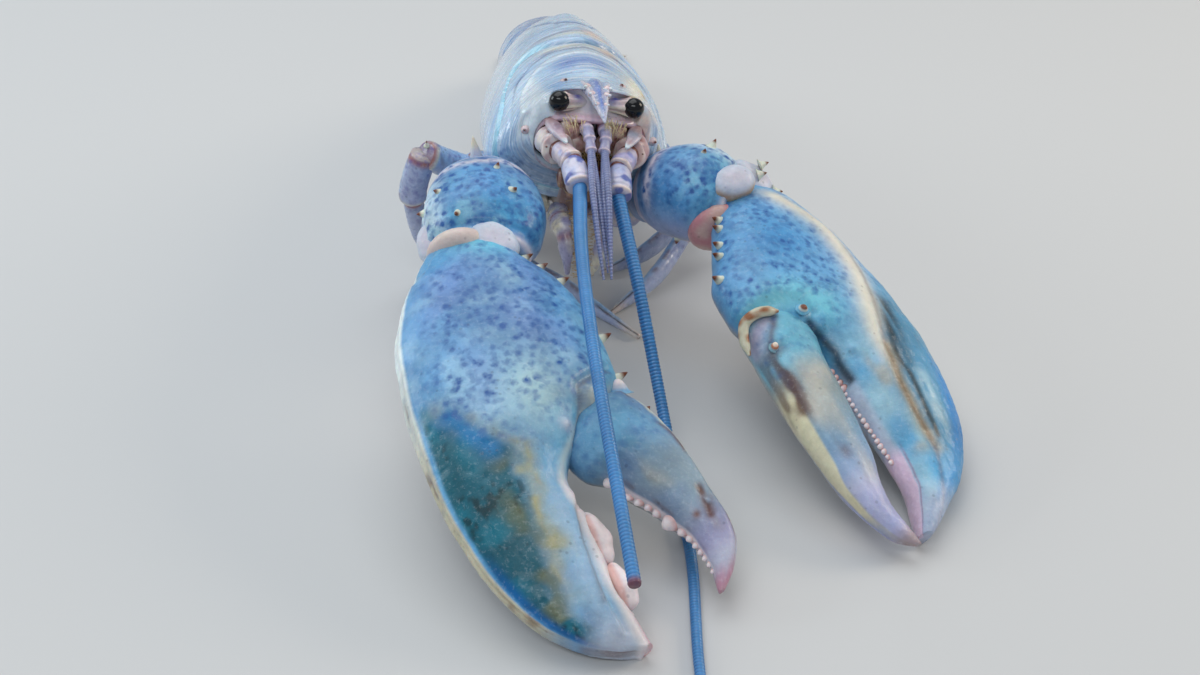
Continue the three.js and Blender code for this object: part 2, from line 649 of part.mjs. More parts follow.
for (const claw of claws) {
  addPiece(`${claw.name}_arm`, limb({
    path: claw.arm,
    up: vec(0, 0, 1),
    width: profile([0, 6], [0.3, armRadius * 0.86], [0.8, armRadius], [1, armRadius * 0.8]),
    height: profile([0, 5.4], [0.3, armRadius * 0.8], [0.8, armRadius * 1.05], [1, armRadius * 0.8]),
    steps: 6,
    sides: 11,
    power: 0.9,
  }), paleLilac, [thorn(claw.armSpike, vec(-0.12, 0.05, 1), 9.5, 3, 6)]);
  addPiece(`${claw.name}_hip`, limb({
    path: claw.hip,
    up: vec(0, 0, 1),
    width: profile([0, 6.4], [0.35, 7], [0.6, 6], [1, 6.4]),
    height: profile([0, 5.6], [0.35, 6.4], [0.6, 5.4], [1, 5.6]),
    steps: 5,
    sides: 9,
  }), creamPink);
  const knobs = claw.knobs.map(([x, y, z, radius]) => (
    egg(vec(x, y, z), vec(0.1, -0.6, 0.8).normalize(), radius * 0.63, radius, 4, 8)));
  const wristThorns = claw.wristThorns.map((place) => {
    const out = vec(...place).sub(claw.wrist[1]).normalize();
    return thorn(vec(...place).addScaledVector(out, -2.6), out, 4.4 + random(), 1.5);
  });
  addPiece(`${claw.name}_wrist`, limb({
    path: claw.wrist,
    up: vec(0, 0, 1),
    width: claw.wristWidth,
    height: claw.wristHeight,
    steps: 8,
    sides: 12,
    power: 0.95,
  }), skyBlue, [...knobs, ...wristThorns]);
  addPiece(`${claw.name}_finger`, claw.finger, skyBlue, claw.fingerAdds);
  addPiece(`${claw.name}_palm`, claw.palm, skyBlue, claw.palmAdds);
}

// Mouth legs: the last pair of feeding legs, folded under the head
for (const { name, sign } of sides) {
  addPiece(`mouth_leg_${name}`, limb({
    path: [
      body(-16, sign * 6, -38), body(-2, sign * 7, -38), body(6, sign * 6.2, -40),
      body(8.5, sign * 4.8, -47), body(6, sign * 3.6, -53),
    ],
    up: bodyDirection(0.4, sign * 0.9, 1),
    width: profile([0, 3.4], [0.4, 3.6], [0.7, 2.6], [1, 0.9]),
    height: profile([0, 2.6], [0.4, 2.4], [0.7, 2], [1, 0.8]),
    steps: 8,
    sides: 6,
  }), paleLilac);
}

// Walking legs: four pairs, each an upper part to the knee and a lower part to the ground
const legRoots = [[-37, 11, -36], [-49, 12, -37], [-62, 13, -38], [-75, 14, -38]];
const legBends = {
  right: [
    { knee: [-37, 31, 33], shin: [-29, 24, 15], hand: [-9, 11, 4.6], toe: [10.3, -17, 1.4] },
    { knee: [-54.5, 14, 56], shin: [-59, 17, 41], hand: [-56, 27, 21], toe: [-51, 38, 0.8], girth: 1.15 },
    { knee: [-39, 58, 25], shin: [-45, 62, 19], hand: [-50, 68, 9], toe: [-53, 74, 0.8] },
    { knee: [-34, 87, 20], shin: [-38, 93, 15.5], hand: [-42, 101, 8], toe: [-44, 108, 0.8] },
  ],
  left: [
    { knee: [42, 34, 25], shin: [30, 22, 13], hand: [20, 11, 7], toe: [3.6, -0.7, 1.4] },
    { knee: [46, 49, 27], shin: [35, 42, 13], hand: [20, 33, 5], toe: [4, 27, 1.4] },
    { knee: [36, 61, 23], shin: [43, 66, 18], hand: [50, 73, 9], toe: [54, 80, 0.8] },
    { knee: [32, 89, 19], shin: [38, 96, 15], hand: [44, 104, 8], toe: [47, 112, 0.8] },
  ],
};
const upperLegWidth = profile([0, 4.6], [0.16, 4.8], [0.26, 3.4], [0.5, 4], [0.9, 3.6], [1, 2.9]);
const upperLegHeight = profile([0, 4.4], [0.16, 4.4], [0.26, 3.2], [0.5, 4.3], [0.9, 4], [1, 3]);
const lowerLegHeight = profile([0, 3.6], [0.2, 3.8], [0.32, 2.9], [0.6, 2.7], [0.75, 2.1], [1, 0.9]);
const pinceredWidth = profile([0, 3.6], [0.2, 3.9], [0.32, 3], [0.6, 3.6], [0.75, 3], [1, 0.9]);
const plainWidth = profile([0, 3.6], [0.2, 3.9], [0.32, 3], [0.6, 2.9], [0.75, 2], [1, 0.9]);

for (const [index, [forward, apart, level]] of legRoots.entries()) {
  for (const { name, sign } of sides) {
    const bend = legBends[name][index];
    const girth = bend.girth ?? 1;
    const root = body(forward, sign * apart, level);
    const knee = vec(...bend.knee);
    const thigh = root.clone().lerp(knee, 0.35).add(vec(0, 0, -2.5));
    addPiece(`leg_${index + 1}_${name}_upper`, limb({
      path: [root, thigh, knee],
      up: vec(0, 0.2, 1),
      width: (share) => girth * upperLegWidth(share),
      height: (share) => girth * upperLegHeight(share),
      steps: 7,
      sides: 6,
    }), silverBlue);
    const away = knee.clone().sub(thigh).normalize();
    const lowerLegWidth = index < 2 ? pinceredWidth : plainWidth;
    addPiece(`leg_${index + 1}_${name}_lower`, limb({
      path: [knee.clone().addScaledVector(away, 0.5), vec(...bend.shin), vec(...bend.hand), vec(...bend.toe)],
      up: vec(0, 1, 0.3),
      width: (share) => girth * lowerLegWidth(share),
      height: (share) => girth * lowerLegHeight(share),
      steps: 8,
      sides: 6,
    }), silverBlue);
  }
}

// Abdomen: six rings that bend down to the ground and a little aside, with flaps and swimmerets
const bendAngles = [13, 15, 18, 21, 21, 17, 8].map((angle) => angle * degree);
const abdomenAside = 14.5;
const abdomenJoints = [body(-carapaceLength, 0, -8.5)];
for (let i = 0; i < 6; i += 1) {
  const angle = (bendAngles[i] + bendAngles[i + 1]) / 2;
  const before = abdomenJoints[i];
  abdomenJoints.push(vec(
    abdomenJoints[0].x + abdomenAside * ((i + 1) / 6) ** 1.1,
    before.y + abdomenSegment * Math.cos(angle),
    before.z - abdomenSegment * Math.sin(angle),
  ));
}
const abdomenCurve = new THREE.CatmullRomCurve3(abdomenJoints, false, 'centripetal');
const abdomenWidth = profile([0, abdomenHalfWidth - 1], [2, abdomenHalfWidth], [4, 22.4], [6, 19]);
const abdomenRise = profile([0, 20.4], [2, 19.4], [4, 16], [6, 9.4]);
const abdomenDrop = profile([0, 11.4], [2, 11.4], [4, 10], [6, 7]);
const ringSwell = profile([0, 0.93], [0.16, 0.965], [0.55, 1], [0.9, 1.025], [1, 0.99]);

// The frame of the abdomen at a place counted in segments from the waist.
function abdomenFrame(place) {
  const back = abdomenCurve.getTangent(place / 6);
  const roll = bodyRoll * (1 - place / 6);
  const side = vec(back.y, -back.x, 0).normalize().applyAxisAngle(back, roll);
  return { centre: abdomenCurve.getPoint(place / 6), back, side, up: side.clone().cross(back).normalize() };
}

function abdomenRing(index, share) {
  const place = index + gap / abdomenSegment / 2 + share * (1 - gap / abdomenSegment);
  const { centre, side, up } = abdomenFrame(place);
  const swell = ringSwell(share);
  const half = abdomenWidth(place) * swell;
  const top = abdomenRise(place) * swell;
  const size = { left: half, right: half, top, bottom: abdomenDrop(place), power: 0.9 };
  return section(centre, side, up, size, 14);
}

// Tail fan, made before the last rings so that they are cut clear of it
const tail = abdomenFrame(6);
const tailYaw = Math.atan2(tail.back.x, tail.back.y);

const level = (angle) => vec(Math.sin(angle), Math.cos(angle), 0);

function tailPlate({ forward, aside, turn, length, width, rise, thickness }) {
  const out = level(tailYaw + turn);
  const side = level(tailYaw + turn + Math.PI / 2);
  const root = tail.centre.clone()
    .addScaledVector(level(tailYaw), forward)
    .addScaledVector(level(tailYaw + Math.PI / 2), aside);
  return loft([0, 0.15, 0.38, 0.62, 0.84, 0.96, 1].map((share) => {
    const half = width(share);
    const thick = thickness(share);
    const centre = root.clone().addScaledVector(out, share * length).setZ(rise(share));
    const size = { left: half, right: half, top: thick, bottom: thick, power: 0.95 };
    return section(centre, side, vec(0, 0, 1), size, 10);
  }));
}

addPiece('telson', tailPlate({
  forward: gap,
  aside: 0,
  turn: 0,
  length: telsonLength,
  width: profile([0, 14], [0.15, 16], [0.7, 14.4], [0.9, 12], [1, 6.4]),
  rise: profile([0, 10.6], [0.4, 8], [1, 3.2]),
  thickness: profile([0, 4.2], [0.3, 2.7], [0.8, 1.5], [1, 0.6]),
}), silverBlue);

// A ring's flaps hang from its sides, and the swimmerets fold under it.
const flapWidth = profile([0, 7.6], [0.55, 7], [1, 1]);
const flapThickness = profile([0, 2.4], [0.6, 1.5], [1, 0.5]);
const flapDrops = [[10.4, 13.3], [10.4, 19], [10.4, 19], [10.4, 19], [10.4, 19], [6, 11]];
const swimmeretWidth = profile([0, 2], [0.6, 3.6], [1, 1.4]);
const swimmeretThickness = profile([0, 1.2], [0.6, 0.8], [1, 0.5]);

flapDrops.forEach(([halfDrop, fullDrop], index) => {
  const { centre, back, side, up } = abdomenFrame(index + 0.5);
  const half = abdomenWidth(index + 0.5);
  const drop = abdomenDrop(index + 0.5);
  const adds = [];
  for (const { sign } of sides) {
    const at = (along, across, rise) => centre.clone()
      .addScaledVector(back, along)
      .addScaledVector(side, sign * across)
      .addScaledVector(up, rise);
    adds.push(limb({
      path: [at(-0.5, half - 3.6, 0), at(0, half - 2, -halfDrop), at(4.5, half - 2.6, -fullDrop)],
      up: side,
      width: flapWidth,
      height: flapThickness,
      steps: 3,
      sides: 6,
    }));
    if (index >= 1 && index <= 4) {
      adds.push(limb({
        path: [at(-3, 11, -drop + 3), at(1, 12.5, -drop - 2), at(7.6, 13, -drop - 3.4)],
        up: vec(0, 0, 1),
        width: swimmeretWidth,
        height: swimmeretThickness,
        steps: 2,
        sides: 5,
      }));
    }
  }
  const rings = [0, 0.14, 0.5, 0.9, 1].map((share) => abdomenRing(index, share));
  addPiece(`abdomen_${index + 1}`, loft(rings), silverBlue, adds);
});

const uropodThickness = profile([0, 2.6], [0.3, 2], [0.8, 1.2], [1, 0.5]);
const uropodLength = 42;
for (const { name, sign } of sides) {
  addPiece(`uropod_inner_${name}`, tailPlate({
    forward: -2,
    aside: sign * 9.8,
    turn: sign * 8 * degree,
    length: uropodLength,
    width: profile([0, 4], [0.2, 8.4], [0.65, 11.4], [0.88, 9.6], [1, 4.6]),
    rise: profile([0, 7.4], [0.4, 5], [1, 1.6]),
    thickness: uropodThickness,
  }), silverBlue);
  addPiece(`uropod_outer_${name}`, tailPlate({
    forward: -5,
    aside: sign * 12,
    turn: sign * 14 * degree,
    length: uropodLength,
    width: profile([0, 4], [0.2, 7.6], [0.65, 10.6], [0.88, 9.2], [1, 4.6]),
    rise: profile([0, 6.4], [0.4, 3.6], [1, 0.8]),
    thickness: uropodThickness,
  }), silverBlue);
}

// The origin goes under the middle of the whole animal, on the ground
const bounds = new THREE.Box3().setFromObject(lobster);
const middle = bounds.getCenter(vec(0, 0, 0));
lobster.position.set(-middle.x, -middle.y, -bounds.min.z);
lobster.updateMatrixWorld(true);

export default lobster;
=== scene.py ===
import itertools
import math

import bpy
import numpy as np
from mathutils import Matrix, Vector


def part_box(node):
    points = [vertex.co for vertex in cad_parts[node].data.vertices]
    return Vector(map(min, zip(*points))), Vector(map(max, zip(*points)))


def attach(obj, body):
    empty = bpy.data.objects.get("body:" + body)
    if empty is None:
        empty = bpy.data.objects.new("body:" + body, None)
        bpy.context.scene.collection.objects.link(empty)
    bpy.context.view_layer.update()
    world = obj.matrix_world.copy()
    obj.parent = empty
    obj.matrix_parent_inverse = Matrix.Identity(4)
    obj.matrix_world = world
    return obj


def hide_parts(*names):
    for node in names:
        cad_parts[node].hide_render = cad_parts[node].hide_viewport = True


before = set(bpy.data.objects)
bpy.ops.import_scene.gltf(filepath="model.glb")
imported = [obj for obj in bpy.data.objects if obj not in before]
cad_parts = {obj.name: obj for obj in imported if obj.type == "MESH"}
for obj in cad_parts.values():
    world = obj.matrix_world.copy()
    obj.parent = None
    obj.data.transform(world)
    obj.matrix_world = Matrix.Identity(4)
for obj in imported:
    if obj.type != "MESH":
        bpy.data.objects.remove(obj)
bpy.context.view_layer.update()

# The lobster lies on the ground on its walking legs, pitched head up and rolled a little.
# All its sizes are in millimetres from the ground under its eyes, and the eyes' boxes in the
# frame tell where that point is.
mm = 0.001
eye_middle = np.array([-1.3, 0, 76])
pitch = math.radians(12)
roll = math.radians(8.5)


def unit(vectors):
    """Vectors divided by their own length."""
    vectors = np.asarray(vectors, float)
    return vectors / np.maximum(np.linalg.norm(vectors, axis=-1, keepdims=True), 1e-9)


def body(forward, left, up):
    """Points of the body: forward of the eyes, to its left and up, turned by the roll and the pitch."""
    forward, left, up = np.broadcast_arrays(forward, left, up)
    across = left * math.cos(roll) + up * math.sin(roll)
    rise = up * math.cos(roll) - left * math.sin(roll)
    ahead = forward * math.cos(pitch) - rise * math.sin(pitch)
    height = forward * math.sin(pitch) + rise * math.cos(pitch)
    return eye_middle + np.stack([across, -ahead, height], axis=-1)


def way(forward, left, up):
    """A direction of the body, without its place."""
    return unit(body(forward, left, up) - body(0, 0, 0))


eye_forward = 2.4
eye_apart = 23.2
eye_radius = 3.15
eye_boxes = np.array([[list(corner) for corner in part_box(name)] for name in ("eye_right", "eye_left")])
shift = eye_boxes.mean(axis=(0, 1)) / mm - body(eye_forward, 0, 0)

# The camera looks down on the head from in front and a little to the animal's right.
camera_place = np.array([-58.07, -413.17, 244.57])
camera_tilt = math.radians(90 - 31.21)
camera_turn = math.radians(-8)
camera_data = bpy.data.cameras.new("camera")
camera_data.sensor_width = 36
camera_data.lens = 43.38
camera_data.clip_start = 0.01
camera = bpy.data.objects.new("camera", camera_data)
camera.location = (camera_place + shift) * mm
camera.rotation_euler = (camera_tilt, 0, camera_turn)
bpy.context.scene.collection.objects.link(camera)
bpy.context.scene.camera = camera

# Studio: a pale floor, a pale room, and large soft lamps above, behind and at both sides.
floor_half = 4.0
floor_mesh = bpy.data.meshes.new("studio_floor")
floor_corners = [(-1, -1), (1, -1), (1, 1), (-1, 1)]
floor_mesh.from_pydata([(x * floor_half, y * floor_half, 0) for x, y in floor_corners], [], [(0, 1, 2, 3)])
floor = bpy.data.objects.new("studio_floor", floor_mesh)
bpy.context.scene.collection.objects.link(floor)
floor_material = bpy.data.materials.new("studio_floor")
floor_material.use_nodes = True
floor_shader = floor_material.node_tree.nodes["Principled BSDF"]
floor_shader.inputs["Base Color"].default_value = (0.6, 0.6, 0.6, 1)
floor_shader.inputs["Roughness"].default_value = 0.75
floor_mesh.materials.append(floor_material)

world = bpy.data.worlds.new("studio")
world.use_nodes = True
world.node_tree.nodes["Background"].inputs["Color"].default_value = (0.84, 0.92, 1.0, 1)
world.node_tree.nodes["Background"].inputs["Strength"].default_value = 0.38
bpy.context.scene.world = world
bpy.context.scene.view_settings.view_transform = "Standard"

lamps = {
    "lamp_above": ((-0.15, 0.35, 1.1), (1.1, 1.1), 7.0, (0.97, 0.99, 1.0)),
    "lamp_front": ((-0.35, -0.9, 1.15), (1.0, 0.3), 4.2, (0.94, 0.98, 1.0)),
    "lamp_right": ((1.1, 0.1, 0.6), (0.5, 0.5), 5.0, (1.0, 0.87, 0.7)),
    "lamp_left": ((-1.1, 0.4, 0.5), (0.5, 0.5), 3.4, (0.86, 0.96, 1.0)),
}
for name, (place, (wide, high), power, colour) in lamps.items():
    lamp_data = bpy.data.lights.new(name, "AREA")
    lamp_data.shape = "RECTANGLE"
    lamp_data.size = wide
    lamp_data.size_y = high
    lamp_data.energy = power
    lamp_data.color = colour
    lamp = bpy.data.objects.new(name, lamp_data)
    away = np.array(place)
    lamp.location = away
    turn = math.atan2(away[0], -away[1])
    lamp.rotation_euler = (math.atan2(math.hypot(away[0], away[1]), away[2]), 0, turn)
    bpy.context.scene.collection.objects.link(lamp)

# The carapace: one glossy arched shield of hard shell from the eyes to the waist. It is grown as a
# single plate, dented by the neck groove that sweeps forward down its sides, and its front edge is
# notched for the eyes and the feelers, with a spine at the corner of each notch.
carapace_length = 105
lean_level = 6


def fade(low, high, value):
    """0 below low, 1 above high, and a smooth rise between them."""
    share = np.clip((value - low) / (high - low), 0, 1)
    return share * share * (3 - 2 * share)


def hill(value, middle, spread):
    """A smooth hill of height 1 at the middle, gone at about twice the spread."""
    return np.exp(-(((value - middle) / spread) ** 2))


def profile(*knots):
    """A smooth curve through [place, value] pairs that never swings past them: each pair's slope is
    the harmonic mean of its neighbours', and cubic pieces join them."""
    x, y = np.array(knots, float).T
    slopes = np.diff(y) / np.diff(x)
    product = slopes[:-1] * slopes[1:]
    total = np.where(product > 0, slopes[:-1] + slopes[1:], 1)
    inner = np.where(product > 0, 2 * product / total, 0)
    tangents = np.concatenate([slopes[:1], inner, slopes[-1:]])

    def curve(place):
        place = np.clip(place, x[0], x[-1])
        i = np.clip(np.searchsorted(x, place, side="right") - 1, 0, len(x) - 2)
        width = x[i + 1] - x[i]
        t = (place - x[i]) / width
        rise = (y[i + 1] - y[i]) * t * t * (3 - 2 * t)
        bend = t * (1 - t) ** 2 * width * tangents[i] + t * t * (t - 1) * width * tangents[i + 1]
        return y[i] + rise + bend

    return curve


def squarer(value, power):
    """The value's size raised to a power, with its own sign."""
    return np.sign(value) * np.abs(value) ** power


def once_round(columns):
    """Equal angles once round a section."""
    return np.linspace(0, 2 * math.pi, columns + 1)[:-1]


def even(count):
    """Equal steps from 0 to 1."""
    return np.linspace(0, 1, count)


def cloud(points, size, seed=0):
    """Smooth noise from -1 to 1: a random value at every corner of cubes of a size, blended between
    the corners by a smooth step."""
    scaled = points / size
    base = np.floor(scaled).astype(np.int64)
    part = scaled - base
    part = part * part * (3 - 2 * part)
    total = np.zeros(points.shape[:-1])
    mask = 0xFFFFFFFF
    for corner in itertools.product((0, 1), repeat=3):
        x, y, z = np.moveaxis(base + corner, -1, 0)
        mixed = (x * 374761393 + y * 668265263 + z * 1274126177 + seed * 982451653) & mask
        mixed = ((mixed ^ (mixed >> 13)) * 1103515245) & mask
        mixed = ((mixed ^ (mixed >> 15)) * 747796405) & mask
        value = (mixed >> 8) / 0x7FFFFF - 1
        weight = np.prod(np.where(corner, part, 1 - part), axis=-1)
        total += value * weight
    return total


def mottle(points, size, seed, low, high):
    """Blotches from 0 to 1: where the cloud of a size rises from a low level to a high one."""
    return fade(low, high, cloud(points, size, seed))


def grid_normals(points):
    """Outward unit normals of a grid of points that closes round its columns: the cross product of
    its two directions, turned away from the middle of each row."""
    down = np.gradient(points, axis=0)
    around = np.roll(points, -1, axis=1) - np.roll(points, 1, axis=1)
    normals = unit(np.cross(down, around))
    outward = points - points.mean(axis=1, keepdims=True)
    return normals * np.sign((normals * outward).sum() + 1e-9)


def raised(points, relief):
    """Points moved out along their normals by a relief."""
    return points + grid_normals(points) * relief[..., None]


def linear(red, green, blue):
    """A colour of 0 to 255 as the eye sees it, as the linear light that a shader mixes."""
    seen = np.array([red, green, blue]) / 255
    return np.where(seen <= 0.04045, seen / 12.92, ((seen + 0.055) / 1.055) ** 2.4)


def blend(tone, colour, amount):
    """A tone moved toward a colour by an amount from 0 to 1."""
    amount = np.clip(amount, 0, 1)[..., None]
    return tone * (1 - amount) + colour * amount


def painted(tone, *coats):
    """A tone under coats of paint, each one a colour and its amount."""
    for colour, amount in coats:
        tone = blend(tone, colour, amount)
    return tone


def sheet(points, tone, spots=0.0, flow=None):
    """A closed skin: its points, its tone, how spotted it is, and where its streaks flow."""
    shape = points.shape[:2]
    tone = np.broadcast_to(tone, shape + (3,))
    spots = np.broadcast_to(spots, shape)
    flow = points if flow is None else flow
    return {"points": points, "tone": tone, "spots": spots, "flow": flow}


floor_gap = 0.02


def add_piece(name, sheets, material, nodes=None):
    """One mesh of closed skins. Each grid is joined round its columns, a point closes each end, and
    it is turned so that its volume is positive. It rides on the root in place of its nodes, which is
    the node of its own name where none are given."""
    nodes = [name] if nodes is None else nodes
    points, faces = [], []
    values = {"tone": [], "spots": [], "flow": []}
    start = 0
    for skin in sheets:
        grid = np.array(skin["points"], float)
        grid[..., 2] = np.maximum(grid[..., 2], floor_gap)
        rows, columns = grid.shape[:2]
        index = np.arange(rows * columns).reshape(rows, columns)
        a, b = index[:-1], np.roll(index, -1, axis=1)[:-1]
        c, d = np.roll(index, -1, axis=1)[1:], index[1:]
        quads = np.stack([a, b, c, d], axis=-1).reshape(-1, 4)
        first, last = index[0], index[-1]
        hubs = np.full(columns, rows * columns), np.full(columns, rows * columns + 1)
        fans = np.concatenate([
            np.stack([hubs[0], np.roll(first, -1), first], axis=-1),
            np.stack([hubs[1], last, np.roll(last, -1)], axis=-1),
        ])
        flat = np.concatenate([grid.reshape(-1, 3), grid[:1].mean(axis=1), grid[-1:].mean(axis=1)])
        corners = flat[np.concatenate([quads[:, [0, 1, 2]], quads[:, [0, 2, 3]], fans])]
        volume = np.einsum("ij,ij->", corners[:, 0], np.cross(corners[:, 1], corners[:, 2]))
        if volume < 0:
            quads, fans = quads[:, ::-1], fans[:, ::-1]
        points.append(flat)
        faces += (quads + start).tolist() + (fans + start).tolist()
        start += len(flat)
        for key, held in values.items():
            value = np.asarray(skin[key], float)
            held.append(np.concatenate([
                value.reshape(rows * columns, -1),
                value[:1].mean(axis=1).reshape(1, -1),
                value[-1:].mean(axis=1).reshape(1, -1),
            ]))
    mesh = bpy.data.meshes.new(name)
    mesh.from_pydata(((np.concatenate(points) + shift) * mm).tolist(), [], faces)
    mesh.polygons.foreach_set("use_smooth", np.ones(len(faces), bool))
    tone = np.concatenate(values["tone"])
    tone = np.concatenate([tone, np.ones((len(tone), 1))], axis=1)
    mesh.attributes.new("tone", "FLOAT_COLOR", "POINT").data.foreach_set("color", tone.ravel())
    spots = np.concatenate(values["spots"]).ravel()
    mesh.attributes.new("spots", "FLOAT", "POINT").data.foreach_set("value", spots)
    flow = np.concatenate(values["flow"]) * mm
    mesh.attributes.new("flow", "FLOAT_VECTOR", "POINT").data.foreach_set("vector", flow.ravel())
    mesh.update()
    piece = bpy.data.objects.new(name, mesh)
    bpy.context.scene.collection.objects.link(piece)
    mesh.materials.append(material)
    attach(piece, "root")
    if nodes:
        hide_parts(*nodes)


def build_shell_group():
    """Node group: a shell's tone with broad clouds, streaks along its flow, dark spots and fine
    specks, and the height of its grain. The spots are noise above a level, where the skin has them."""
    group = bpy.data.node_groups.new("lobster shell", "ShaderNodeTree")
    sockets = {
        "Spot Colour": ("NodeSocketColor", (0.05, 0.12, 0.45, 1)),
        "Speck Colour": ("NodeSocketColor", (0.08, 0.06, 0.08, 1)),
        "Spot Size": ("NodeSocketFloat", 3.0),
        "Streaks": ("NodeSocketFloat", 0.3),
        "Specks": ("NodeSocketFloat", 0.3),
        "Clouds": ("NodeSocketFloat", 0.3),
    }
    for label, (kind, value) in sockets.items():
        group.interface.new_socket(label, in_out="INPUT", socket_type=kind).default_value = value
    results = {"Colour": "NodeSocketColor", "Height": "NodeSocketFloat", "Wet": "NodeSocketFloat"}
    for label, kind in results.items():
        group.interface.new_socket(label, in_out="OUTPUT", socket_type=kind)
    nodes, links = group.nodes, group.links
    given = nodes.new("NodeGroupInput")
    result = nodes.new("NodeGroupOutput")

    def put(target, value):
        if isinstance(value, bpy.types.NodeSocket):
            links.new(value, target)
        else:
            target.default_value = value

    def maths(kind, first, second, third=None):
        node = nodes.new("ShaderNodeMath")
        node.operation = kind
        for socket, value in zip(node.inputs, (first, second, third)):
            if value is not None:
                put(socket, value)
        return node.outputs[0]

    def ramp(value, low, high, least=0.0, most=1.0):
        node = nodes.new("ShaderNodeMapRange")
        node.interpolation_type = "SMOOTHSTEP"
        for socket, given_value in zip(node.inputs[:5], (value, low, high, least, most)):
            put(socket, given_value)
        return node.outputs[0]

    def mix(kind, amount, first, second):
        node = nodes.new("ShaderNodeMix")
        node.data_type = "RGBA"
        node.blend_type = kind
        put(node.inputs[0], amount)
        put(node.inputs[6], first)
        put(node.inputs[7], second)
        return node.outputs[2]

    def noise(vector, scale, detail=2.0, roughness=0.5, distortion=0.0):
        node = nodes.new("ShaderNodeTexNoise")
        links.new(vector, node.inputs["Vector"])
        put(node.inputs["Scale"], scale)
        node.inputs["Detail"].default_value = detail
        node.inputs["Roughness"].default_value = roughness
        node.inputs["Distortion"].default_value = distortion
        return node.outputs["Fac"]

    def attribute(label):
        node = nodes.new("ShaderNodeAttribute")
        node.attribute_name = label
        return node

    place = nodes.new("ShaderNodeTexCoord").outputs["Object"]
    flow = attribute("flow").outputs["Vector"]
    tone = attribute("tone").outputs["Color"]
    spotted = attribute("spots").outputs["Fac"]

    broad = ramp(noise(place, 60, 4, 0.6, 0.4), 0.3, 0.7, -1, 1)
    clouds = maths("MULTIPLY", broad, given.outputs["Clouds"])
    lighter = maths("MULTIPLY_ADD", clouds, 0.35, 1.0)
    colour = mix("MULTIPLY", 1.0, tone, lighter)

    streak = noise(flow, 900, 3, 0.65, 0.2)
    light_streak = maths("MULTIPLY", ramp(streak, 0.52, 0.72), given.outputs["Streaks"])
    dark_streak = maths("MULTIPLY", ramp(streak, 0.48, 0.3), given.outputs["Streaks"])
    colour = mix("MIX", light_streak, colour, (0.88, 0.93, 0.98, 1))
    colour = mix("MULTIPLY", dark_streak, colour, (0.36, 0.46, 0.66, 1))

    spot_scale = maths("DIVIDE", 1000.0, given.outputs["Spot Size"])
    ragged = nodes.new("ShaderNodeTexNoise")
    links.new(place, ragged.inputs["Vector"])
    ragged.inputs["Scale"].default_value = 700
    ragged.inputs["Detail"].default_value = 2
    shift_by = nodes.new("ShaderNodeVectorMath")
    shift_by.operation = "MULTIPLY_ADD"
    links.new(ragged.outputs["Color"], shift_by.inputs[0])
    shift_by.inputs[1].default_value = (0.0016, 0.0016, 0.0016)
    links.new(place, shift_by.inputs[2])
    cells = nodes.new("ShaderNodeTexVoronoi")
    cells.feature = "SMOOTH_F1"
    cells.inputs["Smoothness"].default_value = 0.5
    links.new(shift_by.outputs[0], cells.inputs["Vector"])
    put(cells.inputs["Scale"], spot_scale)
    blot = ramp(cells.outputs["Distance"], 0.58, 0.12)
    merged = ramp(noise(place, maths("MULTIPLY", spot_scale, 0.9), 2, 0.55, 0.3), 0.47, 0.66)
    gathered = ramp(noise(place, maths("MULTIPLY", spot_scale, 0.3), 2, 0.5), 0.28, 0.56)
    amount = maths("MULTIPLY", spotted, maths("MULTIPLY_ADD", gathered, 0.6, 0.4))
    spot = maths("MULTIPLY", maths("MULTIPLY_ADD", merged, 0.36, maths("MULTIPLY", blot, 0.62)), amount)
    colour = mix("MIX", spot, colour, given.outputs["Spot Colour"])

    dots = nodes.new("ShaderNodeTexVoronoi")
    links.new(place, dots.inputs["Vector"])
    dots.inputs["Scale"].default_value = 420
    small = ramp(dots.outputs["Distance"], 0.24, 0.12)
    rare = ramp(noise(place, 160, 1), 0.5, 0.62)
    speck = maths("MULTIPLY", maths("MULTIPLY", small, rare), given.outputs["Specks"])
    colour = mix("MIX", speck, colour, given.outputs["Speck Colour"])

    grain = noise(place, 1500, 2, 0.6)
    dimples = noise(place, 500, 3, 0.6)
    height = maths("ADD", maths("MULTIPLY", grain, 0.3), maths("MULTIPLY", dimples, 0.7))
    height = maths("MULTIPLY_ADD", streak, given.outputs["Streaks"], height)
    links.new(colour, result.inputs["Colour"])
    links.new(height, result.inputs["Height"])
    links.new(ramp(dimples, 0.3, 0.75, 0.0, 1.0), result.inputs["Wet"])
    return group


shell_group = build_shell_group()
grain_depth = 0.0004


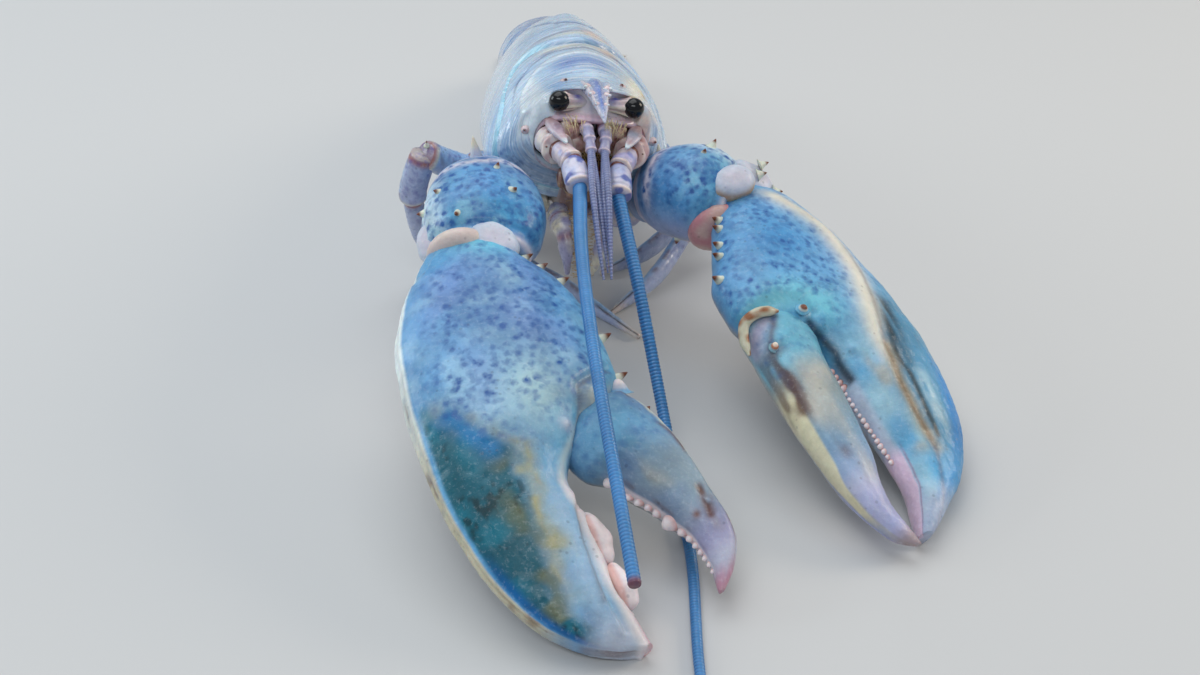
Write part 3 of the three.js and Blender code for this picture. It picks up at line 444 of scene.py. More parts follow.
def shell_material(
        name, spot, spot_size, streaks, specks, clouds, gloss, bump, speck=(40, 30, 40), coat=0.35,
        shine=0.5):
    """A hard glossy shell: its colour, gloss and grain come from the shell group."""
    material = bpy.data.materials.new(name)
    material.use_nodes = True
    tree = material.node_tree
    shader = tree.nodes["Principled BSDF"]
    marks = tree.nodes.new("ShaderNodeGroup")
    marks.node_tree = shell_group
    marks.inputs["Spot Colour"].default_value = (*linear(*spot), 1)
    marks.inputs["Speck Colour"].default_value = (*linear(*speck), 1)
    sizes = {"Spot Size": spot_size, "Streaks": streaks, "Specks": specks, "Clouds": clouds}
    for label, value in sizes.items():
        marks.inputs[label].default_value = value
    tree.links.new(marks.outputs["Colour"], shader.inputs["Base Color"])
    wet = tree.nodes.new("ShaderNodeMapRange")
    wet.inputs["To Min"].default_value = gloss
    wet.inputs["To Max"].default_value = gloss + 0.16
    tree.links.new(marks.outputs["Wet"], wet.inputs["Value"])
    tree.links.new(wet.outputs["Result"], shader.inputs["Roughness"])
    relief = tree.nodes.new("ShaderNodeBump")
    relief.inputs["Strength"].default_value = bump
    relief.inputs["Distance"].default_value = grain_depth
    tree.links.new(marks.outputs["Height"], relief.inputs["Height"])
    tree.links.new(relief.outputs["Normal"], shader.inputs["Normal"])
    shader.inputs["Coat Weight"].default_value = coat
    shader.inputs["Coat Roughness"].default_value = 0.08
    shader.inputs["Specular IOR Level"].default_value = shine
    shader.inputs["Subsurface Weight"].default_value = 0.12
    shader.inputs["Subsurface Scale"].default_value = 0.002
    return material


back_shell = shell_material(
    "back_shell", spot=(66, 92, 160), spot_size=2.4, streaks=0.6, specks=0.3, clouds=0.3, gloss=0.16,
    bump=0.4, coat=0.7)

silver = linear(158, 186, 214)
white = linear(214, 226, 232)
sky = linear(104, 160, 208)
cyan = linear(150, 208, 226)
deep_blue = linear(38, 84, 136)
periwinkle = linear(112, 140, 200)
lilac = linear(166, 164, 196)
warm_reflection = linear(236, 198, 170)
straw = linear(238, 220, 160)
cream = linear(222, 214, 192)
pink = linear(208, 176, 180)
cave_red = linear(58, 16, 10)

carapace_width = profile(
    [-105, 22], [-92, 26], [-70, 29.6], [-45, 30], [-25, 27.6], [-10, 23], [-2, 19.5])
carapace_top = profile([-105, 14.4], [-90, 17], [-60, 15.4], [-40, 12], [-20, 7.8], [-6, 5.2], [-2, 4.8])
carapace_bottom = profile([-105, -30], [-88, -35], [-60, -36], [-30, -34], [-12, -28], [-2, -21])
groove_sweep = profile([-105, 0], [-84, 10], [-55, 28], [-32, 16], [-14, 5], [-2, 0])
sweep_by_angle = profile([0, 0], [28, 0.04], [60, 0.5], [92, 0.96], [180, 1])
face_lean = profile([-30, 0], [-2, 0.3])
widest_share = profile([-105, 0.3], [-25, 0.3], [-2, 0.46])
arch_power = profile([-105, 0.97], [-25, 0.97], [-2, 0.8])
back_power = profile([-105, 1.25], [-25, 1.2], [-2, 0.8])
lower_skew = profile([-105, 0.03], [-25, 0.03], [-2, 0])


def carapace_point(station, angle, dent=0.0):
    """The shield: sections at stations forward of the eyes, each a squared arch round an angle from
    the top, sunk by a dent. The stations sweep forward down the sides, as the neck groove does."""
    turn = np.radians(angle)
    top, bottom = carapace_top(station), carapace_bottom(station)
    middle = bottom + (top - bottom) * widest_share(station)
    rise = squarer(np.cos(turn), arch_power(station))
    across = squarer(np.sin(turn), np.where(rise > 0, back_power(station), arch_power(station)))
    up = middle + rise * (np.where(rise > 0, top - middle, middle - bottom) - dent)
    left = across * (carapace_width(station) - dent) - lower_skew(station) * (top - up)
    forward = station + groove_sweep(station) * sweep_by_angle(np.abs(angle))
    notch = 1.4 * hill(np.abs(angle), 34, 14) + 2.4 * hill(np.abs(angle), 86, 15)
    forward = forward - notch * fade(-14, -2, station)
    return body(forward + face_lean(station) * (up + lean_level), left, up)


station = np.concatenate([
    np.linspace(-105, -101, 12), np.linspace(-100.7, -55, 78), np.linspace(-54.6, -25, 108),
    np.linspace(-24.6, -2.6, 68), np.linspace(-2.4, -2, 3),
])[:, None]
angle = np.linspace(-180, 180, 281)[None, :-1]
over = np.abs(angle)
neck_place = profile(
    [0, -45.8], [12, -46.5], [28, -49.3], [45, -51.8], [52, -50], [60, -41], [66, -33], [80, -26],
    [110, -22], [180, -20])
brow_place = profile([0, -35.4], [26, -34.8], [37, -31.6], [50, -25], [62, -14], [75, -8], [180, -4])
past_neck = station - neck_place(over)
past_brow = station - brow_place(over)
between_lines = station - (neck_place(over) * 0.4 + brow_place(over) * 0.6)
ripple = station + 71 + 0.0125 * (angle - 2) ** 2
neck = hill(past_neck, 0, 1.5)
back_rim = hill(station, -101.6, 0.9)
front = fade(-30, -6, station) * fade(110, 60, over)
gill_line = hill(over, 13 + 0.1 * (station + 105), 2.2) * fade(-64, -72, station)
flow = np.stack([station + 0 * angle, angle * 0.09 + 0 * station, 0 * station + 0 * angle], axis=-1)
wrinkle = cloud(flow, 1.1, 3) + 0.6 * cloud(flow, 0.55, 4)
dent = (
    1.35 * neck * (0.35 + 0.65 * np.cos(np.radians(over) / 2)) + 0.5 * back_rim + 0.3 * gill_line
    + 0.3 * hill(between_lines, 0, 0.9) - 0.3 * hill(past_brow, 0.4, 1.2)
    - 0.25 * hill(past_neck, -3, 1.5) + 0.22 * hill(ripple, 0, 1.4) * fade(50, 30, over)
    + 0.2 * hill(station, -57.8, 1.0) * fade(40, 20, over))
shield = carapace_point(station, angle, dent)
normals = grid_normals(shield)
granules = cloud(shield, 1.3, 1) + 0.6 * cloud(shield, 0.7, 2)
shield = shield + normals * (0.06 * wrinkle + 0.04 * granules * (0.4 + front))[..., None]

head = fade(-1.5, 1.5, past_brow)
stripes = cloud(flow * [1.4, 0.3, 1], 1.0, 8)
patches = cloud(flow * [0.25, 0.45, 1], 1.0, 9)
tone = painted(
    linear(198, 220, 238),
    (sky, 0.2 + 0.3 * patches),
    (lilac, 0.35 * fade(0.0, 0.6, stripes)),
    (white, 0.3 * fade(40, 62, over) * (1 - head)),
    # painted cool reflection: the left flank of the back is bluer
    (linear(122, 168, 216), 0.6 * fade(-56, -74, angle) * (1 - head) * (0.6 + 0.4 * patches)),
    (linear(66, 100, 156), 0.8 * hill(ripple, 0, 1.7) * fade(44, 30, over)),
    (white, 0.6 * hill(ripple, -5, 3) * fade(44, 30, over)),
    (linear(130, 112, 112), 0.6 * hill(station, -57.8, 1.1) * fade(34, 12, np.abs(angle + 14))),
    (straw * 0.9, 0.45 * hill(station, -54.4, 1.6) * fade(36, 12, over)),
    # painted warm reflection on the right of the back, behind the neck groove
    (warm_reflection, 0.85 * hill(station, -58, 5) * hill(angle, 15, 9)),
    (straw * 0.8, 0.6 * hill(past_neck, 5.4, 2.4) * fade(46, 22, over) * (0.7 + 0.5 * stripes)),
    # painted warm reflection on the right, in front of the neck groove
    (warm_reflection, 0.8 * hill(station, -41, 4) * hill(angle, 20, 6)),
    (linear(20, 92, 136), 0.97 * neck * fade(-48, -26, angle)),
    # painted cool reflection: a cyan band beside the neck groove on the left
    (cyan, 0.9 * hill(past_neck, -0.6, 2.6) * fade(-22, -34, angle)),
    (linear(84, 92, 132), 0.75 * hill(between_lines, 0, 1.2) * fade(70, 50, over) * (0.8 + 0.4 * stripes)),
    (periwinkle, 0.85 * head * hill(station, -27, 6) * fade(30, 14, np.abs(angle + 4))),
    (white, 0.55 * head * fade(0.1, 0.6, stripes) * fade(40, 20, over)),
    # painted highlight: a white band along the brow ridge
    (white, 0.75 * hill(past_brow, 0.3, 1.0) * fade(80, 60, over)),
    # painted cool reflection: the left cheek is near white
    (linear(226, 236, 240), 0.9 * head * fade(-36, -46, angle) * fade(-112, -92, angle)),
    (linear(176, 170, 206), 0.35 * head * fade(-36, -50, angle) * fade(0.1, 0.6, patches)),
    (linear(116, 166, 220), 0.75 * head * hill(station, -7, 7) * hill(angle, -32, 12)),
    # the next two coats are painted warm highlight streaks down the right of the head
    (linear(250, 240, 206), 0.95 * head * hill(angle, 37 - 0.25 * (station + 20), 8)
     * fade(-36, -26, station)),
    (straw, 0.8 * head * hill(angle, 44 - 0.25 * (station + 20), 3) * fade(-34, -26, station)),
    (linear(126, 108, 86), 0.5 * head * hill(angle, 47, 2.2) * fade(-60, -40, station)),
    # painted warm reflection low on the right of the head
    (warm_reflection, 0.5 * head * hill(angle, 62, 12)),
    (white, 0.5 * fade(0.25, 0.8, stripes) * fade(30, 50, over)))
spots = (
    0.8 * hill(station, -16, 12) * fade(86, 104, over) + 0.2 * hill(station, -10, 8) * fade(90, 40, over))
flow = flow * [1.0, 0.35, 1]


def between(rings, rows):
    """Rows through key rings of equal counts: cubic pieces whose slope at a ring is half of the step
    between its two neighbours."""
    rings = np.stack(rings)
    slopes = np.gradient(rings, axis=0)
    place = np.linspace(0, len(rings) - 1, rows)
    i = np.minimum(place.astype(int), len(rings) - 2)
    t = (place - i).reshape((-1,) + (1,) * (rings.ndim - 1))
    first, last = rings[i], rings[i + 1]
    rise = first + (last - first) * t * t * (3 - 2 * t)
    return rise + t * (1 - t) ** 2 * slopes[i] + t * t * (t - 1) * slopes[i + 1]


# The face of the shield: behind the brow lie the eye sockets, under the eyes a ridge runs inward
# from a spine, and below it the shell folds back round the cave where the feelers grow.
rim_left = profile([0, 0], [20, 6], [34, 9.5], [58, 15], [86, 17.2], [110, 16.5], [135, 12.8], [180, 0])
rim_up = profile([0, -5.4], [34, -5.6], [58, -7.8], [86, -13.5], [110, -18.5], [135, -21.8], [180, -25])
rim_forward = profile([0, 3], [30, 2.4], [45, 0.8], [58, -1.4], [86, -4], [120, -5.5], [180, -7])
to_axes = np.stack(
    [body(1, 0, 0) - body(0, 0, 0), body(0, 1, 0) - body(0, 0, 0), body(0, 0, 1) - body(0, 0, 0)])
edge = (shield[-1] - body(0, 0, 0)) @ to_axes.T
side_sign = np.sign(angle[0])
spread = np.abs(angle[0])
socket_share = fade(49, 38, spread)[:, None]
rim = np.stack([rim_forward(spread), rim_left(spread) * side_sign, rim_up(spread)], axis=-1)
toward = edge + (rim - edge) * 0.5


def face_ring(socket, lip):
    """A ring of the face, in the eye sockets one way and round the lip another."""
    return lip + (socket - lip) * socket_share


key_rings = [
    edge,
    face_ring(edge * [1, 0.985, 1] + [-0.2, 0, -0.6], edge + (rim - edge) * 0.24 + [0.9, 0, 0]),
    face_ring(edge * [0, 0.97, 1] + [-2.4, 0, -1.6], toward + [1.2, 0, 0]),
    face_ring(rim * [0, 1, 0] + [-1.8, 0, -2.0], edge + (rim - edge) * 0.8 + [1.1, 0, 0.2]),
    rim * [1, 1.01, 1] + [0.5, 0, 1.1],
    rim + [0.3, 0, -0.3],
    rim * [1, 0.965, 1] + [-1.4, 0, -0.7],
    rim * [1, 0.93, 0.97] + [-6, 0, -0.6],
    rim * [1, 0.5, 0.9] + [-10, 0, -1],
]
face_rows = 72
face = between(key_rings, face_rows)
face = body(face[..., 0], face[..., 1], face[..., 2])
face_place = np.linspace(0, len(key_rings) - 1, face_rows)[:, None] + 0 * angle
face = raised(face, 0.12 * cloud(face, 1.4, 11) * fade(0.2, 1, face_place))
in_socket = socket_share[:, 0][None, :]
ridge_tone = linear(212, 182, 196)
face_tone = painted(
    tone[-1],
    # painted light: the eye sockets are near white, to offset the shade that falls in them
    (linear(238, 228, 230), 0.9 * fade(0.9, 1.7, face_place) * in_socket),
    (white, 0.4 * (1 - in_socket) * fade(0.5, 2, face_place) * fade(0, -20, angle)),
    # painted warm reflection on the right of the face
    (warm_reflection, 0.6 * (1 - in_socket) * fade(0.5, 2, face_place) * fade(0, 20, angle)),
    (ridge_tone, 0.9 * fade(3.2, 3.8, face_place) * fade(95, 60, over)),
    (ridge_tone, 0.7 * fade(4.2, 4.9, face_place)),
    (linear(110, 66, 62), 0.85 * hill(face_place, 5.7, 0.35)),
    (cave_red, fade(5.8, 6.6, face_place)))
shield = np.concatenate([shield, face[1:]])
tone = np.concatenate([tone, face_tone[1:]])
spots = np.concatenate([spots, np.zeros((face_rows - 1, spots.shape[1]))])
flow = np.concatenate([flow, np.repeat(flow[-1:], face_rows - 1, axis=0)])
add_piece("carapace", [sheet(shield, tone, spots, flow)], back_shell)

# The claws: two hard hollow hands. The right one crushes, broad and thick with rounded molars, the
# left one cuts, slim with a row of bead teeth. Each is a palm with a fixed finger and a finger that
# turns in its socket, cast in one shell, mottled blue above and rimmed with cream.


def turned(direction, axis, angle):
    """A direction turned by an angle about an axis at right angles to it."""
    return direction * math.cos(angle) + np.cross(axis, direction) * math.sin(angle)


def claw_frame(wrist, tip, roll_angle):
    """A claw's own axes: along to its tip, flat to the lobster's left and up out of its back."""
    wrist, tip = np.array(wrist, float), np.array(tip, float)
    along = unit(tip - wrist)
    flat = turned(unit([-along[1], along[0], 0]), along, math.radians(roll_angle))
    return {"wrist": wrist, "along": along, "flat": flat, "up": np.cross(along, flat)}


def claw_place(frame_axes, s, t, n):
    """Points of a claw from their distances along it, across it and above its middle plane."""
    s, t, n = np.broadcast_arrays(s, t, n)
    return (frame_axes["wrist"] + s[..., None] * frame_axes["along"]
            + t[..., None] * frame_axes["flat"] + n[..., None] * frame_axes["up"])


def claw_direction(frame_axes, s, t, n):
    """A direction in a claw's own axes."""
    return unit(s * frame_axes["along"] + t * frame_axes["flat"] + n * frame_axes["up"])


def finger_frame(palm_axes, hinge, tip):
    """The axes of the moving finger, turned about its hinge in the plane of the palm."""
    wrist = claw_place(palm_axes, hinge[0], hinge[1], 0)
    along = unit(claw_place(palm_axes, tip[0], tip[1], 0) - wrist)
    return {
        "wrist": wrist, "along": along, "flat": unit(np.cross(palm_axes["up"], along)),
        "up": palm_axes["up"]}


def near(s, t, place, reach):
    """A smooth hill round one place of a claw, with its own reach along and across."""
    return np.exp(-(((s - place[0]) / reach[0]) ** 2) - ((t - place[1]) / reach[1]) ** 2)


def near_line(s, t, places, reach):
    """A smooth ridge along a line of places: a hill of the distance to its nearest part."""
    nearest = np.full(np.broadcast(s, t).shape, np.inf)
    for (s0, t0), (s1, t1) in zip(places[:-1], places[1:]):
        step_s, step_t = s1 - s0, t1 - t0
        share = ((s - s0) * step_s + (t - t0) * step_t) / (step_s ** 2 + step_t ** 2)
        share = np.clip(share, 0, 1)
        nearest = np.minimum(nearest, np.hypot(s - s0 - share * step_s, t - t0 - share * step_t))
    return np.exp(-((nearest / reach) ** 2))


end_crowding = 0.55


def even_rows(first, last, count):
    """Stations along a claw, closer together toward both of its ends."""
    share = even(count)
    share = share - end_crowding * np.sin(2 * math.pi * share) / (2 * math.pi)
    return (first + (last - first) * share)[:, None]


claw_power = 0.94


def claw_shape(outline, rows, columns):
    """A claw's grid in its own axes: s, t and n, with the angle round it from its left edge. It is a
    section between a right and a left edge at each station, slightly squarer than an ellipse."""
    s = even_rows(*outline["ends"], rows)
    turn = once_round(columns)[None]
    right, left = outline["right"](s), outline["left"](s)
    across = squarer(np.cos(turn), claw_power)
    rise = squarer(np.sin(turn), claw_power)
    height = np.where(rise > 0, outline["top"](s), outline["bottom"](s)) * (1 + outline["lean"] * across)
    t = (right + left) / 2 + across * (left - right) / 2
    return s + 0 * t, t, rise * height, turn + 0 * t


def circle(axis, turn):
    """Directions at angles round an axis."""
    helper = np.array([1.0, 0, 0]) if abs(axis[2]) > 0.9 else np.array([0, 0, 1.0])
    side = unit(np.cross(axis, helper))
    top = np.cross(side, axis)
    return np.cos(turn)[..., None] * side + np.sin(turn)[..., None] * top


last_ring = 0.985
root_depth = 0.6


def bump(
        place, direction, radius, length, seed, tip_tone, root_tone, middle_tone, sharp=1.0, rows=11,
        columns=14):
    """A tooth or spine: rings round an axis from a flared root to a round tip. Its radius falls as
    (1 - share) to a power, near 1 for a sharp spine and about a half for a round tooth."""
    axis = unit(direction)
    share = np.linspace(0, last_ring, rows)[:, None]
    turn = once_round(columns)[None]
    flare = 0.35 * np.exp(-share * 9)
    around = radius * ((1 - share) ** sharp + flare)
    around = around * (1 + 0.05 * np.sin(turn * 2 + seed))
    lift = -radius * root_depth + (length + radius * root_depth) * share
    grid = np.asarray(place, float) + lift[..., None] * axis + around[..., None] * circle(axis, turn)
    tone = painted(
        root_tone,
        (middle_tone, fade(0.2, 0.5, share + 0 * turn)),
        (tip_tone, fade(0.52, 0.8, share + 0 * turn)))
    return sheet(grid, tone)


def ball(centre, axis, length, radius, rows=20, columns=28, dimple=0.0):
    """An egg about a centre with its long axis along a direction, pressed in round its pole."""
    axis = unit(axis)
    bend = np.linspace(0.03, last_ring, rows)[:, None] * math.pi
    ring = circle(axis, once_round(columns)[None])
    reach = length * np.cos(bend) - dimple * np.exp(-((bend / 0.55) ** 2))
    return centre + reach[..., None] * axis + (radius * np.sin(bend))[..., None] * ring


def path_places(places, shares):
    """Places and directions at shares of the length of a smooth path through a few points. Each
    piece is a cubic whose end slopes weigh the steps beside them by the root of their length."""
    knots = np.array(places, float)
    knots = np.concatenate([[2 * knots[0] - knots[1]], knots, [2 * knots[-1] - knots[-2]]])
    roots = np.sqrt(np.linalg.norm(np.diff(knots, axis=0), axis=1))
    t = np.linspace(0, 1, 60, endpoint=False)[:, None]
    pieces = []
    for i in range(1, len(knots) - 2):
        before, first, last, after = knots[i - 1:i + 3]
        d0, d1, d2 = roots[i - 1:i + 2]
        start = ((first - before) / d0 - (last - before) / (d0 + d1) + (last - first) / d1) * d1
        end = ((last - first) / d1 - (after - first) / (d1 + d2) + (after - last) / d2) * d1
        bend = 3 * (last - first) - 2 * start - end
        twist = 2 * (first - last) + start + end
        pieces.append(first + start * t + bend * t ** 2 + twist * t ** 3)
    dense = np.concatenate([*pieces, knots[-2:-1]])
    run = np.concatenate([[0], np.cumsum(np.linalg.norm(np.diff(dense, axis=0), axis=1))])
    lengths = np.asarray(shares, float) * run[-1]
    step = 0.02 * run[-1]

    def at(lengths):
        return np.stack([np.interp(lengths, run, dense[:, axis]) for axis in range(3)], axis=-1)

    return at(lengths), unit(at(lengths + step) - at(lengths - step))


def limb(places, up, width, height, shares, columns, power=1.0):
    """A tube along a path: at each share a section with its own half width and half height, squarer
    than an ellipse below power 1. Returns the points and the angle round, from one side over the top."""
    shares = np.asarray(shares, float)
    centre, along = path_places(places, shares)
    side = unit(np.cross(along, up))
    top = np.cross(side, along)
    turn = once_round(columns)
    across = squarer(np.cos(turn), power)[None, :] * width(shares)[:, None]
    rise = squarer(np.sin(turn), power)[None, :] * height(shares)[:, None]
    points = centre[:, None] + across[..., None] * side[:, None] + rise[..., None] * top[:, None]
    return points, shares[:, None] + 0 * turn, np.degrees(turn)[None, :] + 0 * shares[:, None]


ridge_cream = linear(212, 216, 200)
rust = linear(96, 52, 30)
spine_tip = linear(104, 50, 26)
royal = linear(0, 118, 176)
cerulean = linear(58, 132, 194)
teal = linear(0, 84, 98)
green_black = linear(6, 34, 36)
olive = linear(168, 158, 104)
turquoise = linear(62, 154, 190)
violet = linear(80, 110, 164)
ice = linear(122, 174, 212)
pearl = linear(196, 200, 214)
magenta = linear(188, 92, 120)
tooth_white = linear(238, 224, 226)
under_cream = linear(190, 176, 164)

claw_shell = shell_material(
    "claw_shell", spot=(40, 90, 156), spot_size=2.7, streaks=0.1, specks=0.25, clouds=0.45, gloss=0.36,
    bump=0.6, coat=0.15, shine=0.3)

# The crusher palm: a broad thick hollow of shell with a fixed finger, two rounded molars and small
# teeth along its bite. Its outline, paint and marks have their places counted from the wrist.
crusher = claw_frame([-40.7, -40, 50.2], [-10.4, -162.4, 4], 0)
crusher_outline = {
    "ends": (-3, 134.3),
    "right": profile(
        [-3, -12], [2, -17.1], [21.4, -29.8], [38, -35.3], [60, -37.5], [78, -37.2], [99, -34.1],
        [117, -27.3], [128, -18.5], [133.5, -8.5], [134.3, -3]),
    "left": profile(
        [-3, 5], [3, 7], [10, 9.4], [21.8, 16.9], [34.2, 20], [46, 21], [58, 20.4], [63.5, 17], [68, 9.5],
        [73, 5], [82, -2.5], [88, -4.6], [100, -3], [115, -3.2], [126, -1.6], [134.3, -0.4]),
    "top": profile(
        [-3, 7], [8, 10], [28, 13], [50, 13.8], [70, 12.6], [85, 10.6], [100, 8.8], [117, 7],
        [128, 5], [134.3, 2.2]),
    "bottom": profile(
        [-3, 8], [8, 11], [28, 14], [50, 14.6], [70, 13.4], [85, 11], [100, 9.6], [112, 9.2],
        [121, 9.2], [128, 7.4], [134.3, 4.6]),
    "lean": 0.1,
}
rows, columns = ((330, 230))
s, t, n, turn = claw_shape(crusher_outline, rows, columns)
upper = fade(-5, -0.5, n)
round_it = np.degrees(turn)
from_edge = t - crusher_outline["right"](s)
to_left = crusher_outline["left"](s) - t
rough = np.stack([s, t, n], axis=-1)
patch_inner = profile(
    [54, -34], [64, -29], [72, -24], [78, -15], [88, -15.5], [98, -16.4], [119, -16.4], [128, -11])
patch_edge = patch_inner(s) - t + 2.2 * cloud(rough, 7, 21) + 1.4 * cloud(rough, 3, 22)
patch = fade(-1, 5, patch_edge) * fade(54, 62, s) * fade(158, 151, round_it) * upper
rim = fade(158, 162, round_it) * fade(212, 205, round_it)
rim_ridge = hill(round_it, 163, 4) + 0.6 * hill(round_it, 178, 4)
relief = (
    0.5 * rim_ridge * fade(8, 20, s) * fade(130, 118, s)
    + 0.75 * near(s, t, (73, -1), (1.6, 1.6)) * upper
    + 1.3 * near(s, t, (67, 9), (3.4, 2.8)) * upper
    - 0.9 * near_line(s, t, [(57, 17), (63, 6), (70, 5), (77, 2)], 1.3) * upper
    - 0.5 * near_line(s, t, [(12, -24), (10, -20), (5, -16)], 0.9) * upper
    + 0.5 * fade(3.4, 1.6, to_left) * fade(82, 92, s))
bite_ridge = [(87, -4), (96, -7), (105, -8.4), (114, -8.6), (122, -8.4), (130, -7)]
relief = (
    relief - 0.7 * near_line(s, t, [(a, b + 1.6) for a, b in bite_ridge], 0.9) * upper
    + 0.5 * near_line(s, t, bite_ridge, 1.0) * upper
    + 0.35 * cloud(rough, 11, 23) + 0.09 * cloud(rough, 2.2, 24) + 0.05 * cloud(rough, 0.9, 25)
    - 0.3 * patch * mottle(rough, 3.2, 26, 0.25, 0.8))
palm = raised(claw_place(crusher, s, t, n), relief)

middle_blue = upper * fade(1.15, 0.35, np.abs((t + 8) / 24)) * fade(86, 66, s)
rim_tone = blend(linear(232, 240, 236), linear(196, 188, 160), fade(40, 84, s))
tone = painted(
    ice,
    (cerulean, 0.42 + 0.3 * cloud(rough, 14, 31)),
    (periwinkle, 0.6 * middle_blue * mottle(rough, 9, 32, -0.3, 0.6)),
    (violet, 0.4 * near(s, t, (32, -8), (20, 16)) * upper),
    (linear(156, 196, 220), 0.5 * mottle(rough, 6, 27, -0.2, 0.6) * upper),
    (linear(176, 204, 200), 0.75 * near(s, t, (64, -6), (15, 12))),
    (turquoise, 0.6 * fade(16, 2, to_left) * fade(20, 60, s) * upper),
    (linear(96, 192, 214), 0.7 * near(s, t, (7, -2), (6, 12))),
    (linear(168, 192, 214), 0.8 * fade(78, 96, s) * fade(-17, -9, t)),
    (linear(132, 150, 176), 0.4 * fade(78, 96, s) * mottle(rough, 6, 38, 0.0, 0.6)),
    (ice, 0.6 * fade(70, 90, s) * fade(9, 2, to_left)),
    (olive, 0.85 * hill(patch_edge, -0.6, 3.4) * (0.6 + 0.4 * mottle(rough, 3, 28, -0.4, 0.4))
     * fade(54, 62, s) * fade(126, 110, s) * upper),
    (teal, 0.96 * patch),
    (linear(24, 124, 146), 0.7 * patch * mottle(rough, 7, 33, -0.1, 0.7)),
    (linear(120, 116, 70), 0.75 * patch * mottle(rough, 4.5, 34, -0.2, 0.5) * fade(12, 2, patch_edge)),
    (green_black, 0.7 * patch * mottle(rough, 1.3, 35, 0.05, 0.6) * mottle(rough, 9, 29, -0.5, 0.3)),
    (royal, 0.95 * near_line(s, t, [(63, -29), (69, -26), (76, -22)], 3.4) * upper),
    (linear(84, 156, 196), 0.6 * hill(round_it, 156, 4) * fade(56, 76, s) * upper),
    (linear(6, 98, 164), 0.9 * hill(round_it, 150, 10) * fade(98, 112, s) * upper),
    (pearl, 0.8 * fade(124, 133, s + 0.4 * (t + 10))),
    (rim_tone, 0.95 * rim * fade(131, 120, s)),
    (rust, 0.55 * hill(round_it, 171, 3) * fade(40, 60, s) * mottle(rough, 6, 36, -0.2, 0.4)),
    (rust, 0.55 * rim * fade(60, 80, s) * mottle(rough, 5, 37, 0.2, 0.7)),
    (under_cream, 0.75 * fade(-2, -7, n) * fade(203, 214, round_it)),
    (pearl, 0.9 * near(s, t, (73, -1), (1.8, 1.8)) * upper),
    (cream, 0.7 * near(s, t, (67, 9), (4.0, 3.4)) * upper),
    # partly brown, partly painted shade: a brown band in the groove beside the hinge
    (rust, 0.5 * near_line(s, t, [(58, 17), (63.5, 6), (70, 5), (77, 2)], 0.9) * upper),
    (ridge_cream, 0.5 * hill(to_left, 2.0, 1.4) * fade(58, 66, s) * upper),
    # partly brown, partly painted shade: a brown line beside the ridge inside the molars
    (rust, 0.35 * near_line(s, t, [(71, 5), (83, -1), (87, -3.5), (105, -7.5), (122, -8.5)], 0.9) * upper),
    (tooth_white, 0.8 * fade(4.2, 1.5, to_left) * fade(82, 92, s)),
    (magenta, 0.5 * fade(1.4, 0.2, to_left) * fade(120, 128, s)))
spots = upper * (0.95 * fade(80, 56, s + 0.3 * (t + 8)) * fade(2, 14, from_edge) + 0.25 * fade(96, 82, s))
spots = spots * (1 - patch) * fade(0, 5, to_left + 1)


def bite_edge(axes, edge, places, sizes, inward, length_share):
    """Teeth along a bite edge: each root on the edge, each axis across the claw."""
    out = claw_direction(axes, 0.08, inward, 0.04)
    made = []
    for number, (place, size) in enumerate(zip(places, sizes)):
        root = claw_place(axes, place, edge(place) - inward * size * 0.45, 0)
        made.append(bump(
            root, out, size * 1.15, size * length_share, number, tooth_white, rust, linear(224, 176, 172),
            sharp=0.55, rows=14, columns=18))
    return made


def edge_spines(axes, outline_edge, places, inward, level, length, radius):
    """Spines on an edge of a claw, with a cream root and a dark hard tip."""
    made = []
    for number, place in enumerate(places):
        root = claw_place(axes, place, outline_edge(place) - inward * radius * 0.6, level)
        out = claw_direction(axes, -0.12, inward, 0.4)
        made.append(
            bump(root, out, radius, length, number, spine_tip, ridge_cream, ridge_cream, sharp=0.75))
    return made


crusher_teeth = bite_edge(
    crusher, crusher_outline["left"], [92, 95, 110.4, 124.5, 127.5, 130.2], [1.6, 1.9, 1.6, 1.5, 1.2, 0.9],
    1, 1.15)
for place, half_length, radius in (((102.6, -3.0), 7.8, 3.6), ((117.4, -1.8), 6.4, 3.8)):
    molar = ball(
        claw_place(crusher, place[0], place[1], 1.4), claw_direction(crusher, 1, 0.08, 0), half_length,
        radius, 36, 44)
    molar = raised(molar, 0.9 * cloud(molar, 3.4, 39))
    out = (molar - claw_place(crusher, place[0], place[1], 0)) @ crusher["flat"] / radius
    molar_tone = blend(tooth_white, linear(226, 178, 170), fade(0.1, -0.3, out))
    crusher_teeth.append(sheet(molar, blend(molar_tone, rust, 0.7 * fade(-0.4, -0.7, out))))
crusher_spines = edge_spines(crusher, crusher_outline["left"], [10.5, 15, 21.5, 44, 58], 1, 2.4, 4.4, 2.0)
add_piece(
    "crusher_palm", [sheet(palm, tone, spots)] + crusher_teeth + crusher_spines, claw_shell)

